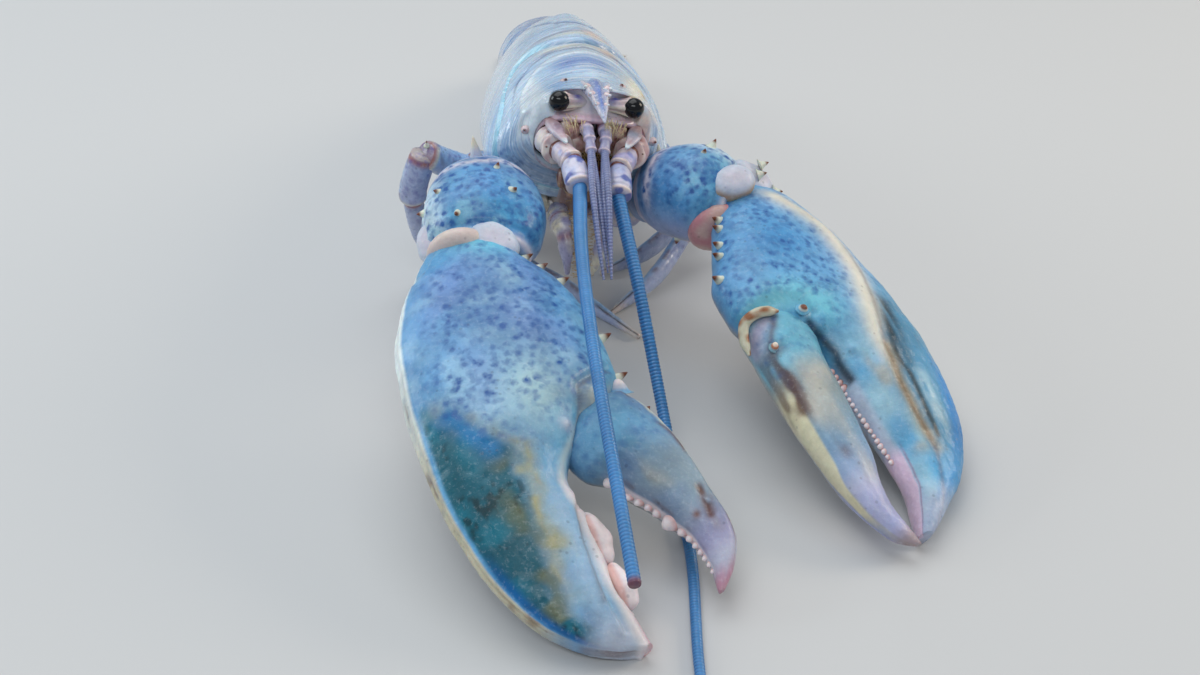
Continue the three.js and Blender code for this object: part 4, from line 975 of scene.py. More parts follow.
# The crusher's moving finger: a short thick blade of the same shell with a cream back and blunt
# teeth, which turns on a knob in its socket at the hinge.
crusher_finger = finger_frame(crusher, [73.7, 7.1], [125.2, 21.6])
crusher_finger_outline = {
    "ends": (-9, 53.5),
    "left": profile(
        [-9, 10], [-4, 15.8], [3, 18], [14.2, 18.2], [26.8, 16.6], [36.5, 15.4], [43.5, 13.6],
        [47.7, 10.5], [51.6, 5.6], [53.5, 2]),
    "right": profile(
        [-9, 2], [-4, -6], [3, -9.4], [8, -8.4], [13, -3.9], [18.5, -2.6], [25, 0.4], [32, 2.2],
        [38, 3.6], [46, 3], [53.5, 0]),
    "top": profile([-9, 6], [0, 10.2], [12, 10], [26, 8], [40, 5.6], [49, 3.4], [53.5, 1]),
    "bottom": profile([-9, 5.6], [0, 9.4], [12, 9], [26, 7.2], [40, 5], [49, 3], [53.5, 1]),
    "lean": 0.08,
}
rows, columns = ((190, 150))
s, t, n, turn = claw_shape(crusher_finger_outline, rows, columns)
upper = fade(-2, 2.5, n)
to_left = crusher_finger_outline["left"](s) - t
to_bite = t - crusher_finger_outline["right"](s)
round_it = np.degrees(turn)
from_back = np.minimum(round_it, 360 - round_it)
from_bite = np.abs(round_it - 180)
rough = np.stack([s, t, n], axis=-1)
scar = (
    near_line(s, t, [(30, 11.6), (33.5, 10.8), (37, 9.6)], 1.5) * mottle(rough, 1.6, 47, -0.9, 0.1) * upper)
relief = (
    0.5 * hill(to_left, 2.6, 1.3) * fade(0, 8, s) * fade(50, 40, s)
    + 0.8 * near(s, t, (-5, 12), (1.8, 1.8)) * upper - 0.5 * scar
    + 0.2 * cloud(rough, 8, 41) + 0.07 * cloud(rough, 1.8, 42) + 0.04 * cloud(rough, 0.8, 43))
finger = raised(claw_place(crusher_finger, s, t, n), relief)
tone = painted(
    linear(112, 156, 190),
    (linear(136, 156, 170), fade(6, 22, s)),
    (linear(158, 152, 190), fade(28, 46, s)),
    (turquoise, 0.5 * near(s, t, (4, 2), (9, 8))),
    (linear(96, 116, 160), 0.4 * mottle(rough, 7, 44, -0.1, 0.6) * upper),
    (linear(176, 160, 132), 0.55 * mottle(rough, 5, 46, 0.0, 0.7) * fade(9, 2, to_bite) * fade(8, 18, s)),
    (ridge_cream, 0.85 * fade(46, 38, from_back) * fade(-6, 2, s) * fade(48, 38, s)),
    (rust, 0.75 * hill(from_back, 45, 5) * mottle(rough, 5, 45, -0.5, 0.2)),
    (under_cream, 0.7 * fade(-1, -5, n)),
    (tooth_white, 0.75 * fade(20, 12, from_bite) * fade(10, 18, s)),
    (rust, 0.4 * hill(from_bite, 24, 5) * mottle(rough, 3, 48, -0.3, 0.4) * fade(10, 20, s)),
    (rust, 0.85 * scar),
    (spine_tip, 0.9 * near(s, t, (35, 6.5), (1.0, 1.0)) * upper),
    (pearl, 0.7 * fade(40, 48, s)),
    (magenta, 0.6 * fade(47, 52, s) * fade(5, 1, np.minimum(to_left, to_bite))))
spots = upper * 0.55 * fade(26, 6, s)
finger_teeth = bite_edge(
    crusher_finger, crusher_finger_outline["right"],
    [13, 16.6, 19.2, 21.8, 24.4, 27, 31, 34.8, 37.4, 39.8, 42, 44, 46, 48],
    [2.4, 1.5, 1.6, 1.7, 1.6, 1.8, 3.2, 1.8, 1.6, 1.4, 1.3, 1.2, 1.1, 0.9], -1, 1.2)
knuckle = bump(
    claw_place(crusher_finger, -8.5, 14.6, 4), claw_direction(crusher_finger, -0.7, 0.3, 0.65), 3.0, 2.2, 2,
    tooth_white, ice, pearl, sharp=0.5, rows=16, columns=20)
knob_spine = edge_spines(crusher_finger, crusher_finger_outline["left"], [1], 1, 2.6, 2.0, 1.7)
add_piece(
    "crusher_finger", [sheet(finger, tone, spots)] + finger_teeth + [knuckle] + knob_spine, claw_shell)

# The pincer palm: a slim hollow of shell with a fixed finger and a row of bead teeth. It is rolled
# inward, so that its ridged outer edge and streaked outer facet show.
pincer = claw_frame([39.8, -18, 46.6], [67.5, -130.7, 5], -14)
pincer_outline = {
    "ends": (-3, 124.5),
    "right": profile(
        [-3, -8], [2, -9.4], [12, -13.5], [27, -20.5], [36, -24.4], [46, -24], [54, -17], [60, -5],
        [70, 0], [84, 1], [98, 2], [108, 2.6], [116, 0.6], [124.5, -2.4]),
    "left": profile(
        [-3, 12], [0, 18.6], [8, 22.6], [28, 30.6], [50, 35.2], [70, 35.4], [87, 33], [98, 29],
        [109, 21], [117, 11.4], [122, 5], [124.5, 1.2]),
    "top": profile(
        [-3, 7], [6, 9.6], [26, 12], [46, 12.4], [64, 11.2], [84, 9.2], [104, 6.6], [117, 4.6],
        [124.5, 2]),
    "bottom": profile(
        [-3, 8], [6, 10.6], [26, 13], [46, 13.4], [64, 12], [84, 9.8], [100, 8.2], [112, 7.8],
        [118, 6.8], [124.5, 4]),
    "lean": 0.06,
}
rows, columns = ((310, 220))
s, t, n, turn = claw_shape(pincer_outline, rows, columns)
upper = fade(-3, 3, n)
to_left = pincer_outline["left"](s) - t
round_it = (np.degrees(turn) + 180) % 360 - 180
rough = np.stack([s, t, n], axis=-1)
socket = near_line(s, t, [(54, -22), (49, -19), (48, -12), (52, -6)], 3.4) * upper
ridge_line = profile(
    [-3, 4], [9, 10], [23, 17.5], [38, 18.5], [47, 16.5], [69, 11.5], [86, 10.5], [100, 11], [112, 8],
    [124, 1])
ridge = hill(t, ridge_line(s) - 0.5, 4.6 - 2.6 * fade(50, 70, s)) * upper
facet_edge = t - ridge_line(s) + 0.8 * cloud(rough, 4, 58)
facet = fade(-0.8, 1.2, facet_edge) * fade(34, 58, s) * fade(-8, -4, n)
relief = (
    0.7 * ridge * fade(0, 14, s) * fade(112, 90, s) - 1.1 * socket
    + 0.35 * near_line(s, t, [(56, -24), (46, -22), (44, -14), (46, -6)], 2.2) * upper
    + 0.8 * near(s, t, (66, 4), (1.3, 1.3)) * upper
    - 1.2 * near_line(s, t, [(54, -4), (58, -6), (64, -3), (74, 0)], 1.5) * upper
    + 0.3 * cloud(rough, 10, 51) + 0.09 * cloud(rough, 2.1, 52) + 0.05 * cloud(rough, 0.9, 53)
    + 0.18 * facet * cloud(rough * [0.3, 1, 1], 1.3, 54))
palm = raised(claw_place(pincer, s, t, n), relief)
streaky = cloud(rough * [0.22, 1, 1], 2.2, 57)
dark_lines = (
    near_line(s, t, [(52, 21), (60, 19), (72, 17)], 3.2)
    + near_line(s, t, [(70, 17), (83, 17), (98, 16)], 1.0))
from_bite = 180 - np.abs(round_it)
torn = 2.5 * cloud(rough, 3, 68)
tone = painted(
    linear(126, 182, 220),
    (cerulean, 0.35 + 0.3 * cloud(rough, 13, 55)),
    (turquoise, 0.55 * fade(34, 60, s) * upper),
    (ice, 0.55 * near_line(s, t, [(16, 8), (50, 12), (92, 8)], 5) * upper),
    (linear(168, 204, 214), 0.7 * mottle(rough * [0.5, 1, 1], 6, 59, -0.2, 0.5) * fade(50, 72, s) * upper),
    (linear(170, 170, 210), 0.5 * mottle(rough * [0.5, 1, 1], 7, 60, 0.0, 0.6) * fade(60, 84, s) * upper),
    (royal, 0.35 * near(s, t, (24, -3), (18, 12)) * upper),
    (linear(176, 160, 130), 0.6 * near_line(s, t, [(72, 8), (100, 9)], 3) * upper
     * mottle(rough * [0.35, 1, 1], 3, 56, -0.2, 0.5)),
    (linear(80, 144, 180), 0.92 * facet),
    (linear(6, 34, 44), np.clip(dark_lines, 0, 0.95) * facet * fade(-0.8, 0.1, streaky)),
    (linear(156, 138, 104), 0.9 * near_line(s, t, [(68, 13.4), (80, 12.4), (96, 12.4), (102, 13.4)], 2.2)
     * upper),
    (linear(164, 196, 208), 0.75 * near_line(s, t, [(78, 21), (94, 20)], 2.4) * fade(-0.2, 0.4, streaky)),
    (linear(40, 130, 200), 0.9 * fade(10, 5, to_left) * fade(62, 84, s) * fade(-7, -3, n)),
    (linear(206, 222, 224), 0.85 * fade(30, 18, np.abs(round_it - 4)) * fade(14, 30, s) * fade(84, 70, s)),
    (linear(90, 170, 220), 0.6 * fade(96, 108, s) * fade(4, 12, t)),
    (linear(226, 218, 200), 0.92 * ridge * fade(84, 60, s) * fade(-2, 6, s)),
    (rust, 0.4 * hill(t, ridge_line(s) + 1.8, 0.8) * fade(20, 40, s) * upper),
    (pearl, 0.7 * fade(108, 119, s + 0.2 * (6 - t))),
    (pearl, 0.7 * fade(34, 20, from_bite) * fade(66, 80, s)),
    (linear(226, 196, 218), 0.85 * fade(34, 28, from_bite + torn) * fade(96, 102, s)),
    (linear(150, 92, 132), 0.6 * hill(from_bite + torn, 35, 2.4) * fade(96, 102, s)),
    (linear(110, 170, 200), 0.5 * socket),
    (linear(126, 206, 214), 0.6 * near_line(s, t, [(60, -22), (48, -18), (46, -8), (52, 0)], 5) * upper),
    # painted shade: a near-black line in the slit between the finger and the palm
    (linear(20, 16, 26), 0.85 * near_line(s, t, [(56, -6), (60, -2.4), (65, 0.2), (74, 1.4)], 1.0) * upper),
    (under_cream, 0.7 * fade(-1, -6, n) * (1 - facet)))
spots = (
    upper * (0.9 * fade(66, 40, s) * fade(0.5, 4, to_left - 5) + 0.2 * fade(96, 76, s)) * (1 - facet)
    * (1 - socket) * (1 - ridge))
bead_places = np.linspace(62, 101, 21)
bead_places = bead_places + 0.6 * np.sin(bead_places * 3.1)
bead_sizes = 0.8 + 0.5 * np.abs(np.sin(bead_places * 2.1))
pincer_teeth = bite_edge(pincer, pincer_outline["right"], bead_places, bead_sizes, -1, 1.3)
pincer_spines = edge_spines(pincer, pincer_outline["right"], [9.4, 13, 20, 24.6, 34], -1, 2.6, 3.8, 1.9)
hinge_knob = bump(
    claw_place(pincer, 53, -8, 11.2), claw_direction(pincer, 0.1, -0.1, 1), 1.6, 0.8, 1,
    linear(120, 70, 50), linear(104, 172, 204), linear(196, 204, 200), sharp=0.4, rows=18, columns=22)
add_piece(
    "pincer_palm", [sheet(palm, tone, spots)] + pincer_teeth + pincer_spines + [hinge_knob], claw_shell)

# The pincer's moving finger: a slim blade of the same shell, stained brown along its outer edge,
# which turns in the socket at the palm's hinge.
pincer_finger = finger_frame(pincer, [53, -12.4], [126.4, -1.5])
pincer_finger_outline = {
    "ends": (-8, 74.2),
    "right": profile(
        [-8, -7], [-2, -11], [5, -11.4], [18, -12.8], [35, -14.2], [50, -14.6], [62, -12.8],
        [69, -9.8], [72.6, -6.4], [74.2, -3.6]),
    "left": profile(
        [-8, 4], [-2, 10.6], [6, 10.2], [14, 7.6], [27, 5.6], [41, 2.8], [49, 0.4], [56, -2.8], [63, -4],
        [69, -3.2], [74.2, -2]),
    "top": profile([-8, 5.4], [2, 8.6], [16, 8], [40, 6.2], [60, 4.2], [70, 2.6], [74.2, 0.9]),
    "bottom": profile([-8, 5], [2, 8], [16, 7.4], [40, 5.8], [60, 4], [70, 2.6], [74.2, 0.9]),
    "lean": 0,
}
rows, columns = ((210, 140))
s, t, n, turn = claw_shape(pincer_finger_outline, rows, columns)
upper = fade(-2, 2.5, n)
to_right = t - pincer_finger_outline["right"](s)
from_back = np.abs(np.degrees(turn) - 180)
from_bite = np.minimum(np.degrees(turn), 360 - np.degrees(turn))
rough = np.stack([s, t, n], axis=-1)
stain = (
    near_line(s, t, [(10, -10), (20, -11), (29, -13)], 3.0)
    * mottle(rough * [0.5, 1, 1], 2.4, 61, -0.6, 0.3) * fade(-4, 0, n))
band_reach = profile([10, 16], [28, 36], [46, 34], [54, 22], [70, 16])
relief = (
    0.45 * hill(to_right, 2.4, 1.1) * fade(4, 14, s) * fade(66, 52, s)
    + 0.9 * near(s, t, (7, -7), (1.5, 1.5)) * upper - 0.2 * stain
    + 0.2 * cloud(rough, 8, 62) + 0.07 * cloud(rough, 1.8, 63) + 0.04 * cloud(rough, 0.8, 64))
finger = raised(claw_place(pincer_finger, s, t, n), relief)
hollow = near_line(s, t, [(-1, -7), (2, -10.5), (6, -12.6)], 2.6) * fade(-4, 0, n)
tone = painted(
    linear(112, 180, 204),
    (linear(140, 152, 154), fade(10, 22, s)),
    (ice, 0.7 * fade(24, 44, s)),
    (lilac, 0.7 * fade(34, 60, s)),
    (linear(196, 190, 176), 0.7 * mottle(rough * [0.4, 1, 1], 6, 66, 0.0, 0.7) * fade(10, 24, s) * upper),
    (linear(224, 214, 176), 0.85 * fade(0, -8, from_back - band_reach(s)) * fade(16, 26, s)
     * fade(68, 60, s)),
    (linear(84, 44, 34), 0.85 * stain),
    (rust, 0.5 * near(s, t, (45, -10), (2.2, 1.6)) * upper),
    (rust, 0.4 * hill(to_right, 5, 1.2) * mottle(rough * [0.4, 1, 1], 4, 65, 0.1, 0.6) * upper),
    (under_cream, 0.7 * fade(-1, -5, n)),
    (pearl, 0.75 * fade(30, 18, from_bite) * fade(12, 22, s)),
    (magenta, 0.45 * fade(18, 10, from_bite) * fade(14, 26, s)),
    (linear(176, 168, 190), 0.9 * hollow),
    (linear(84, 70, 84), 0.7 * near_line(s, t, [(-1, -3.6), (3.6, -7.4), (7.6, -9.8)], 0.9)
     * fade(-2, 1, n)),
    (linear(176, 180, 222), 0.8 * fade(50, 60, s) * fade(14, 26, from_back)),
    (linear(168, 140, 122), 0.7 * fade(66, 73, s + 0.4 * (t + 6))))
spots = upper * 0.5 * fade(30, 6, s)
bead_places = np.linspace(16, 52, 15)
bead_sizes = 0.95 + 0.4 * np.abs(np.sin(bead_places * 1.7))
finger_teeth = bite_edge(pincer_finger, pincer_finger_outline["left"], bead_places, bead_sizes, 1, 1.25)
ring_places = [
    claw_place(pincer_finger, *place) for place in (
        (-1, -3, 9.4), (-3, -8, 7.6), (-2.6, -11.6, 4.4), (1, -13.2, 2), (6, -13.8, 0.6))]
socket_ring, share, turn = limb(
    ring_places, pincer_finger["up"], profile([0, 0.4], [0.15, 1.6], [0.8, 1.5], [1, 0.4]),
    profile([0, 0.4], [0.15, 1.4], [0.8, 1.3], [1, 0.4]), even(60), 24)
ring_tone = blend(linear(204, 200, 176), linear(150, 96, 60), mottle(socket_ring, 2.4, 67, 0.0, 0.5))
finger_wart = bump(
    claw_place(pincer_finger, 8.4, -9.4, 6.4), claw_direction(pincer_finger, 0, -0.3, 1), 1.4, 1.4, 1,
    linear(236, 214, 196), linear(120, 156, 170), linear(180, 104, 62), sharp=0.5)
add_piece(
    "pincer_finger", [sheet(finger, tone, spots), sheet(socket_ring, ring_tone), finger_wart] + finger_teeth,
    claw_shell)

# The claw arms: three short shell tubes each, joined by soft skin. The wrist is a swollen knob-edged
# cup, the arm behind it a flat-sided tube with a spine, the hip a ring under the shield.


def spine(place, direction, length=3.2, radius=1.5):
    """A cream spine with a dark hard tip, its root sunk into the shell."""
    return bump(place, direction, radius, length, 1, spine_tip, ridge_cream, ridge_cream, sharp=0.85)


wrists = {
    "crusher": {
        "path": [(-38.6, -6, 53.6), (-38.4, -25, 54), (-40.4, -45, 48.4)],
        "width": profile([0, 10.5], [0.3, 16.6], [0.6, 18.4], [0.85, 16.4], [1, 12]),
        "height": profile([0, 9], [0.3, 13.2], [0.6, 13.6], [0.85, 11.6], [1, 8.6]),
        "hip": [body(-24, -9, -35), body(-25, -17, -38), (-32, 25, 33)],
        "arm": [(-32, 25, 33), (-37, 8, 43), (-39, -8, 54)],
        "arm_spike": (-38.4, -1, 58.5),
        "knobs": [
            ((-37.4, -46.4, 54.4), 6.8, (0.1, -0.7, 0.7), (0.91, -0.3, -0.29)),
            ((-54.4, -36, 50.4), 5.6, (-0.5, -0.6, 0.6), (0.07, 0.5, 0.86))],
        "pale": (-1, -0.2, -0.1),
        "skin": (-47, -45.5, 51.4),
        "skin_tone": linear(218, 200, 194),
    },
    "pincer": {
        "path": [(17, 1, 44), (27, -9, 48.4), (39.6, -17.4, 47)],
        "width": profile([0, 9.5], [0.3, 14.6], [0.6, 16], [0.85, 14], [1, 10.6]),
        "height": profile([0, 9], [0.3, 14], [0.6, 15], [0.85, 13], [1, 9.6]),
        "hip": [body(-24, 9, -35), body(-25, 15, -38), (23, 27, 30)],
        "arm": [(23, 27, 30), (20, 14, 36.5), (17, 0, 43.6)],
        "arm_spike": (20, 2, 51),
        "knobs": [
            ((37.6, -20.6, 56), 6.6, (0.1, -0.6, 0.8), (0.97, 0, 0.22)),
            ((46.5, -8, 50), 7.6, (0.5, -0.4, 0.7), (0.8, 0, -0.6))],
        "pale": (0.7, 0.4, 0.6),
        "skin": (33, -24, 43),
        "skin_tone": linear(196, 132, 140),
    },
}
wrist_spines = {
    "crusher": [
        (-33.9, -23.7, 67.3), (-30, -34, 64.6), (-51.6, -29.6, 63.2), (-56.6, -29.8, 56.6),
        (-46.7, -40.5, 61.3)],
    "pincer": [
        (34.6, -7, 63.4), (30.3, -13.2, 63.3), (51, -7, 55.5), (49.5, -11, 54), (55, -11, 47.6),
        (21.8, -18.4, 37)],
}
limb_rows = 130
limb_columns = 150

for claw, made in wrists.items():
    shares = even(limb_rows)
    points, share, turn = limb(
        made["path"], (0, 0, 1), made["width"], made["height"], shares, limb_columns, 0.95)
    rise = np.sin(np.radians(turn))
    rim = hill(share, 0.06, 0.035) + 0.8 * hill(share, 0.13, 0.025)
    front_rim = hill(share, 0.97, 0.03)
    bulge = (
        0.5 * rim + 0.7 * front_rim - 0.6 * hill(share, 0.9, 0.03)
        + 0.4 * cloud(points, 8, 71) + 0.1 * cloud(points, 2, 72) + 0.05 * cloud(points, 0.9, 73))
    points = raised(points, bulge)
    over = fade(-0.35, 0.35, rise)
    tone = painted(
        cerulean,
        (ice, 0.45 + 0.35 * cloud(points, 9, 74)),
        (lilac, 0.7 * fade(0.2, -0.5, rise)),
        (turquoise, 0.5 * hill(share, 0.8, 0.12) * over),
        (violet, 0.35 * mottle(points, 6, 75, -0.2, 0.5) * over))
    outward = (points - points.mean(axis=1, keepdims=True)) @ unit(made["pale"]) / made["width"](share)
    tone = painted(
        tone,
        (linear(206, 228, 240), 0.85 * fade(0.45, 0.85, outward) * fade(0.3, 0.5, share)),
        (cyan, 0.45 * mottle(points, 5, 79, -0.2, 0.6) * over * fade(0.4, 0.7, share)),
        (linear(222, 214, 224), 0.8 * hill(share, 0.32, 0.045) * over),
        (linear(222, 206, 214), 0.85 * rim),
        (tooth_white, 0.7 * front_rim),
        (under_cream, 0.6 * fade(-0.5, -0.95, rise)))
    spots = 1.35 * over * fade(0.12, 0.3, share) * fade(0.97, 0.85, share)
    skins = [sheet(points, tone, spots)]
    for centre, radius, axis, across in made["knobs"]:
        knob = ball(np.array(centre), axis, radius * 0.68, radius, dimple=0.5)
        from_middle = knob - np.array(centre)
        sideways, upward = unit(across), unit(np.cross(axis, across))
        knob = (
            knob + 0.18 * (from_middle @ sideways)[..., None] * sideways
            - 0.14 * (from_middle @ upward)[..., None] * upward)
        rough = cloud(knob, 1.2, 76)
        knob = raised(knob, 0.1 * rough + 0.35 * cloud(knob, 4, 77))
        pole = np.linspace(0, 1, knob.shape[0])[:, None] + 0 * rough
        knob_tone = painted(
            linear(200, 210, 226),
            (linear(214, 208, 220), fade(0.35, 0.0, pole)),
            (linear(196, 182, 130), 0.8 * hill(pole, 0.5, 0.1) * fade(-0.2, 0.4, rough)),
            (linear(176, 132, 76), 0.8 * hill(pole, 0.4, 0.1)
             * fade(0, -0.7, (from_middle @ upward) / radius)),
            (linear(72, 40, 24), hill((from_middle @ sideways) / radius, -0.8, 0.12)
             * hill((from_middle @ upward) / radius, -0.1, 0.16)))
        skins.append(sheet(knob, knob_tone, 0.1))
    skin = ball(np.array(made["skin"], float), (0.1, -1, -0.4), 4.8, 9.4)
    skin_tone = blend(made["skin_tone"], cream, 0.4 * mottle(skin, 4, 78, -0.2, 0.6))
    skins.append(sheet(skin, skin_tone))
    middle = np.array(made["path"][1], float)
    for place in wrist_spines[claw]:
        out = unit(np.array(place) - middle)
        skins.append(spine(np.array(place) - out * 0.4, out, 2.2, 1.7))
    add_piece(f"{claw}_wrist", skins, claw_shell)

    arm_width = profile([0, 6], [0.3, 7.4], [0.8, 8.6], [1, 6.9])
    arm_height = profile([0, 5.4], [0.3, 6.9], [0.8, 9.03], [1, 6.9])
    points, share, turn = limb(made["arm"], (0, 0, 1), arm_width, arm_height, even(70), 90, 0.85)
    rise = np.sin(np.radians(turn))
    bulge = 0.3 * hill(share, 0.94, 0.03) + 0.25 * cloud(points, 5, 81) + 0.08 * cloud(points, 1.4, 82)
    points = raised(points, bulge)
    tone = painted(
        ice,
        (cerulean, 0.5 * mottle(points, 6, 83, -0.2, 0.6)),
        (lilac, 0.6 * fade(0.1, -0.5, rise)),
        (cream, 0.5 * fade(0.25, 0.0, share)))
    spike = bump(made["arm_spike"], (-0.12, 0.05, 1), 3.0, 9.5, 1, cream, silver, pearl, sharp=0.8, rows=18)
    add_piece(
        f"{claw}_arm", [sheet(points, tone, 0.6 * fade(0, 0.5, rise)), spike], claw_shell)

# The beak and the head spines: part of the shield, a hard spear between the eyes with three thorns a
# side. The skin under it carries tufts of stiff golden bristles that keep the eyes and feelers clean.
beak_width = profile([-16, 5], [-6, 5], [0, 4], [6, 3], [13, 1.9], [22, 0.35])
beak_top = profile([-16, 6.2], [-6, 6], [2, 5], [8, 3.4], [14, 1.4], [22, -1.6])
beak_depth = profile([-16, 4], [2, 3.6], [12, 2.4], [22, 0.6])
beak_forward = np.linspace(-16, 22, 110)[:, None]
beak_turn = once_round(72)[None]
across = np.cos(beak_turn) + 0 * beak_forward
over = np.sin(beak_turn) + 0 * beak_forward
keel = (
    0.55 * hill(across, 0, 0.2) + 0.5 * hill(np.abs(across), 0.86, 0.14)
    - 0.35 * hill(np.abs(across), 0.5, 0.2))
upward = fade(0.0, 0.35, over)
keel = keel * fade(-14, -3, beak_forward)
beak_up = beak_top(beak_forward) + beak_depth(beak_forward) * (squarer(over, 0.8) - 1) / 2
beak = body(
    beak_forward, across * beak_width(beak_forward),
    beak_up + keel * upward * beak_depth(beak_forward) / 3.6)
beak = raised(beak, 0.12 * cloud(beak, 1.8, 91) + 0.06 * cloud(beak, 0.8, 92))
beak_tone = painted(
    linear(196, 204, 226),
    (linear(84, 116, 192), 0.9 * hill(across, 0, 0.4) * upward),
    (linear(60, 62, 120), 0.25 * hill(np.abs(across), 0.42, 0.16) * upward),
    (linear(228, 214, 212), 0.75 * hill(np.abs(across), 0.88, 0.2) * upward),
    (pearl, 0.8 * fade(13, 20, beak_forward + 0 * across)),
    (linear(156, 188, 224), 0.9 * fade(-2, -10, beak_forward + 0 * across)))
skins = [sheet(beak, beak_tone, 0.25 * upward)]
pink_pearl = linear(236, 206, 206)
for side in (-1, 1):
    for forward, radius, length in ((0.2, 1.05, 1.9), (5.7, 0.95, 1.8), (12, 0.7, 1.5)):
        edge = beak_width(forward) - 0.5
        middle = beak_top(forward) - 0.1 * beak_depth(forward)
        root = body(forward, side * edge, middle - 0.3)
        out = way(1, side * 0.5, 0.35)
        skins.append(bump(root, out, radius, length, forward, white, pink_pearl, pink_pearl, sharp=0.55))
    for place, out, length, radius in (
            ((-4, 6.7, 3.6), (1, 0, 0.5), 2.2, 1.1),
            ((-9.4, 8.9, 4.4), (1, 0, 0.9), 1.7, 1.3),
            ((-3.6, 17, -5.8), (1, 0.2, 0.1), 2.8, 1.2),
            ((-14, 22, -9), (1, 0.5, 0.3), 1.8, 1.1),
            ((-4.5, 20.4, -11), (1, 0.3, 0.1), 2.0, 1.1)):
        root = body(place[0], side * place[1], place[2])
        out = way(out[0], side * out[1], out[2])
        skins.append(bump(root, out, radius, length, 2, spine_tip, pink_pearl, pink_pearl, sharp=0.8))
add_piece("beak", skins, back_shell, [])

# The eyes: glossy black caps on short ribbed stalks that grow from under the beak. The cap is a
# clear hard lens skin, so it mirrors the room, with a thin cream rim of shell round it.
eye_material = bpy.data.materials.new("eye")
eye_material.use_nodes = True
eye_shader = eye_material.node_tree.nodes["Principled BSDF"]
eye_shader.inputs["Base Color"].default_value = (0.002, 0.002, 0.003, 1)
eye_shader.inputs["Roughness"].default_value = 0.12
eye_shader.inputs["Specular IOR Level"].default_value = 0.4
cream_shell = shell_material(
    "cream_shell", spot=(120, 84, 90), spot_size=2.0, streaks=0.15, specks=0.2, clouds=0.4, gloss=0.28,
    bump=0.4)

for side, name in ((-1, "right"), (1, "left")):
    centre = body(eye_forward, side * eye_apart / 2, 0)
    look = way(1, side * 0.5, 0.1)
    add_piece(
        f"eye_{name}", [sheet(ball(centre, look, eye_radius, eye_radius, 40, 56), linear(8, 8, 12))],
        eye_material)
    shares = even(60)
    stalk_width = profile([0, 2.3], [0.4, 2.2], [0.75, 2.6], [0.94, 3.0], [1, 2.7])
    stalk_end = centre - look * 0.9
    points, share, turn = limb(
        [body(-4, side * 4.2, -0.6), body(-0.4, side * 7.6, -0.4), stalk_end],
        way(0, 0, 1), stalk_width, stalk_width, shares, 72)
    ribs = np.cos(np.radians(turn * 7)) * fade(0.1, 0.4, share) * fade(0.95, 0.85, share)
    points = raised(points, 0.22 * ribs + 0.1 * cloud(points, 1.2, 93))
    below = fade(0.3, -0.4, np.sin(np.radians(turn)))
    tone = painted(
        linear(226, 214, 220),
        (linear(212, 190, 188), fade(0.4, 0.75, share)),
        (linear(92, 96, 190), hill(share, 0.36, 0.2) * hill(turn, 90, 60)),
        (cream, fade(0.0, 0.7, ribs) * below + 0.4 * below),
        (linear(150, 112, 100), 0.6 * fade(-0.1, -0.8, ribs) * below),
        (linear(236, 222, 198), 0.9 * hill(share, 0.94, 0.035)))
    add_piece(f"eyestalk_{name}", [sheet(points, tone)], cream_shell)


def bristles(roots, directions, lengths, radius, droop, tone):
    """Stiff hairs: three-sided cones from many roots, each bent down by its length squared."""
    made = []
    turn = np.array([0, 2.1, 4.2])
    for root, out, length in zip(roots, directions, lengths):
        share = np.array([0, 0.35, 0.7, 1.0])[:, None]
        helper = np.array([0.3, 0.9, 0.3])
        side = unit(np.cross(out, helper))
        top = np.cross(side, out)
        spread = radius * (1.05 - share) * np.stack([np.cos(turn), np.sin(turn)])[:, None, :]
        middle = root + out * (share * length) - np.array([0, 0, droop * length]) * share ** 2
        points = middle[:, None] + spread[0][..., None] * side + spread[1][..., None] * top
        made.append(sheet(points, tone))
    return made


random = np.random.default_rng(7)
tuft_droop = 0.12


def tuft(centre, spread, direction, splay, count, length, tone, radius=0.12):
    """A tuft: bristles rooted round a place and splayed round a direction."""
    roots = np.asarray(centre) + random.normal(0, 1, (count, 3)) * np.asarray(spread)
    directions = unit(np.asarray(direction) + random.normal(0, splay, (count, 3)))
    lengths = length * random.uniform(0.6, 1.15, count)
    return bristles(roots, directions, lengths, radius, tuft_droop, tone)


gold = linear(196, 160, 96)
pale_gold = linear(226, 206, 160)
tufts = []
for side in (-1, 1):
    for apart in np.linspace(2.6, 9.6, 9):
        root = body(3.2 + 0.02 * apart, side * apart, -4.0 - 0.05 * apart)
        tufts += tuft(
            root, (0.4, 0.7, 0.5), way(0.9, side * (0.8 - 0.16 * apart), -1), 0.2, 2, 6.4, pale_gold, 0.15)
    tufts += tuft(
        body(4, side * 8.4, -6.8), (1.0, 1.2, 0.6), way(0.8, -side * 0.5, -0.4), 0.22, 9, 3.6, pale_gold)
tufts += tuft(body(6, 4.0, -4.6), (0.9, 1.2, 0.8), way(0.8, 0.3, -0.9), 0.28, 16, 4.6, pale_gold)
add_piece("head_bristles", tufts, cream_shell, [])

# The feelers' bases: rings of shell joined by brown skin, with a pointed scale over each. A long
# feeler is hundreds of short rings, sky blue with darker seams, and bends anywhere.
sky_feeler = linear(52, 122, 184)
feeler_seam = linear(18, 64, 120)
brown_skin = linear(112, 58, 44)
article_girth = ((0, 0.74), (0.25, 0.95), (0.6, 1), (0.86, 1.02), (1, 0.78))
collar_height = 0.16
feeler = shell_material(
    "feeler", spot=(40, 70, 150), spot_size=1.6, streaks=0.0, specks=0.15, clouds=0.35, gloss=0.34,
    bump=0.25, shine=0.3)
lilac_shell = shell_material(
    "lilac_shell", spot=(62, 62, 140), spot_size=1.8, streaks=0.12, specks=0.3, clouds=0.4, gloss=0.24,
    bump=0.4)


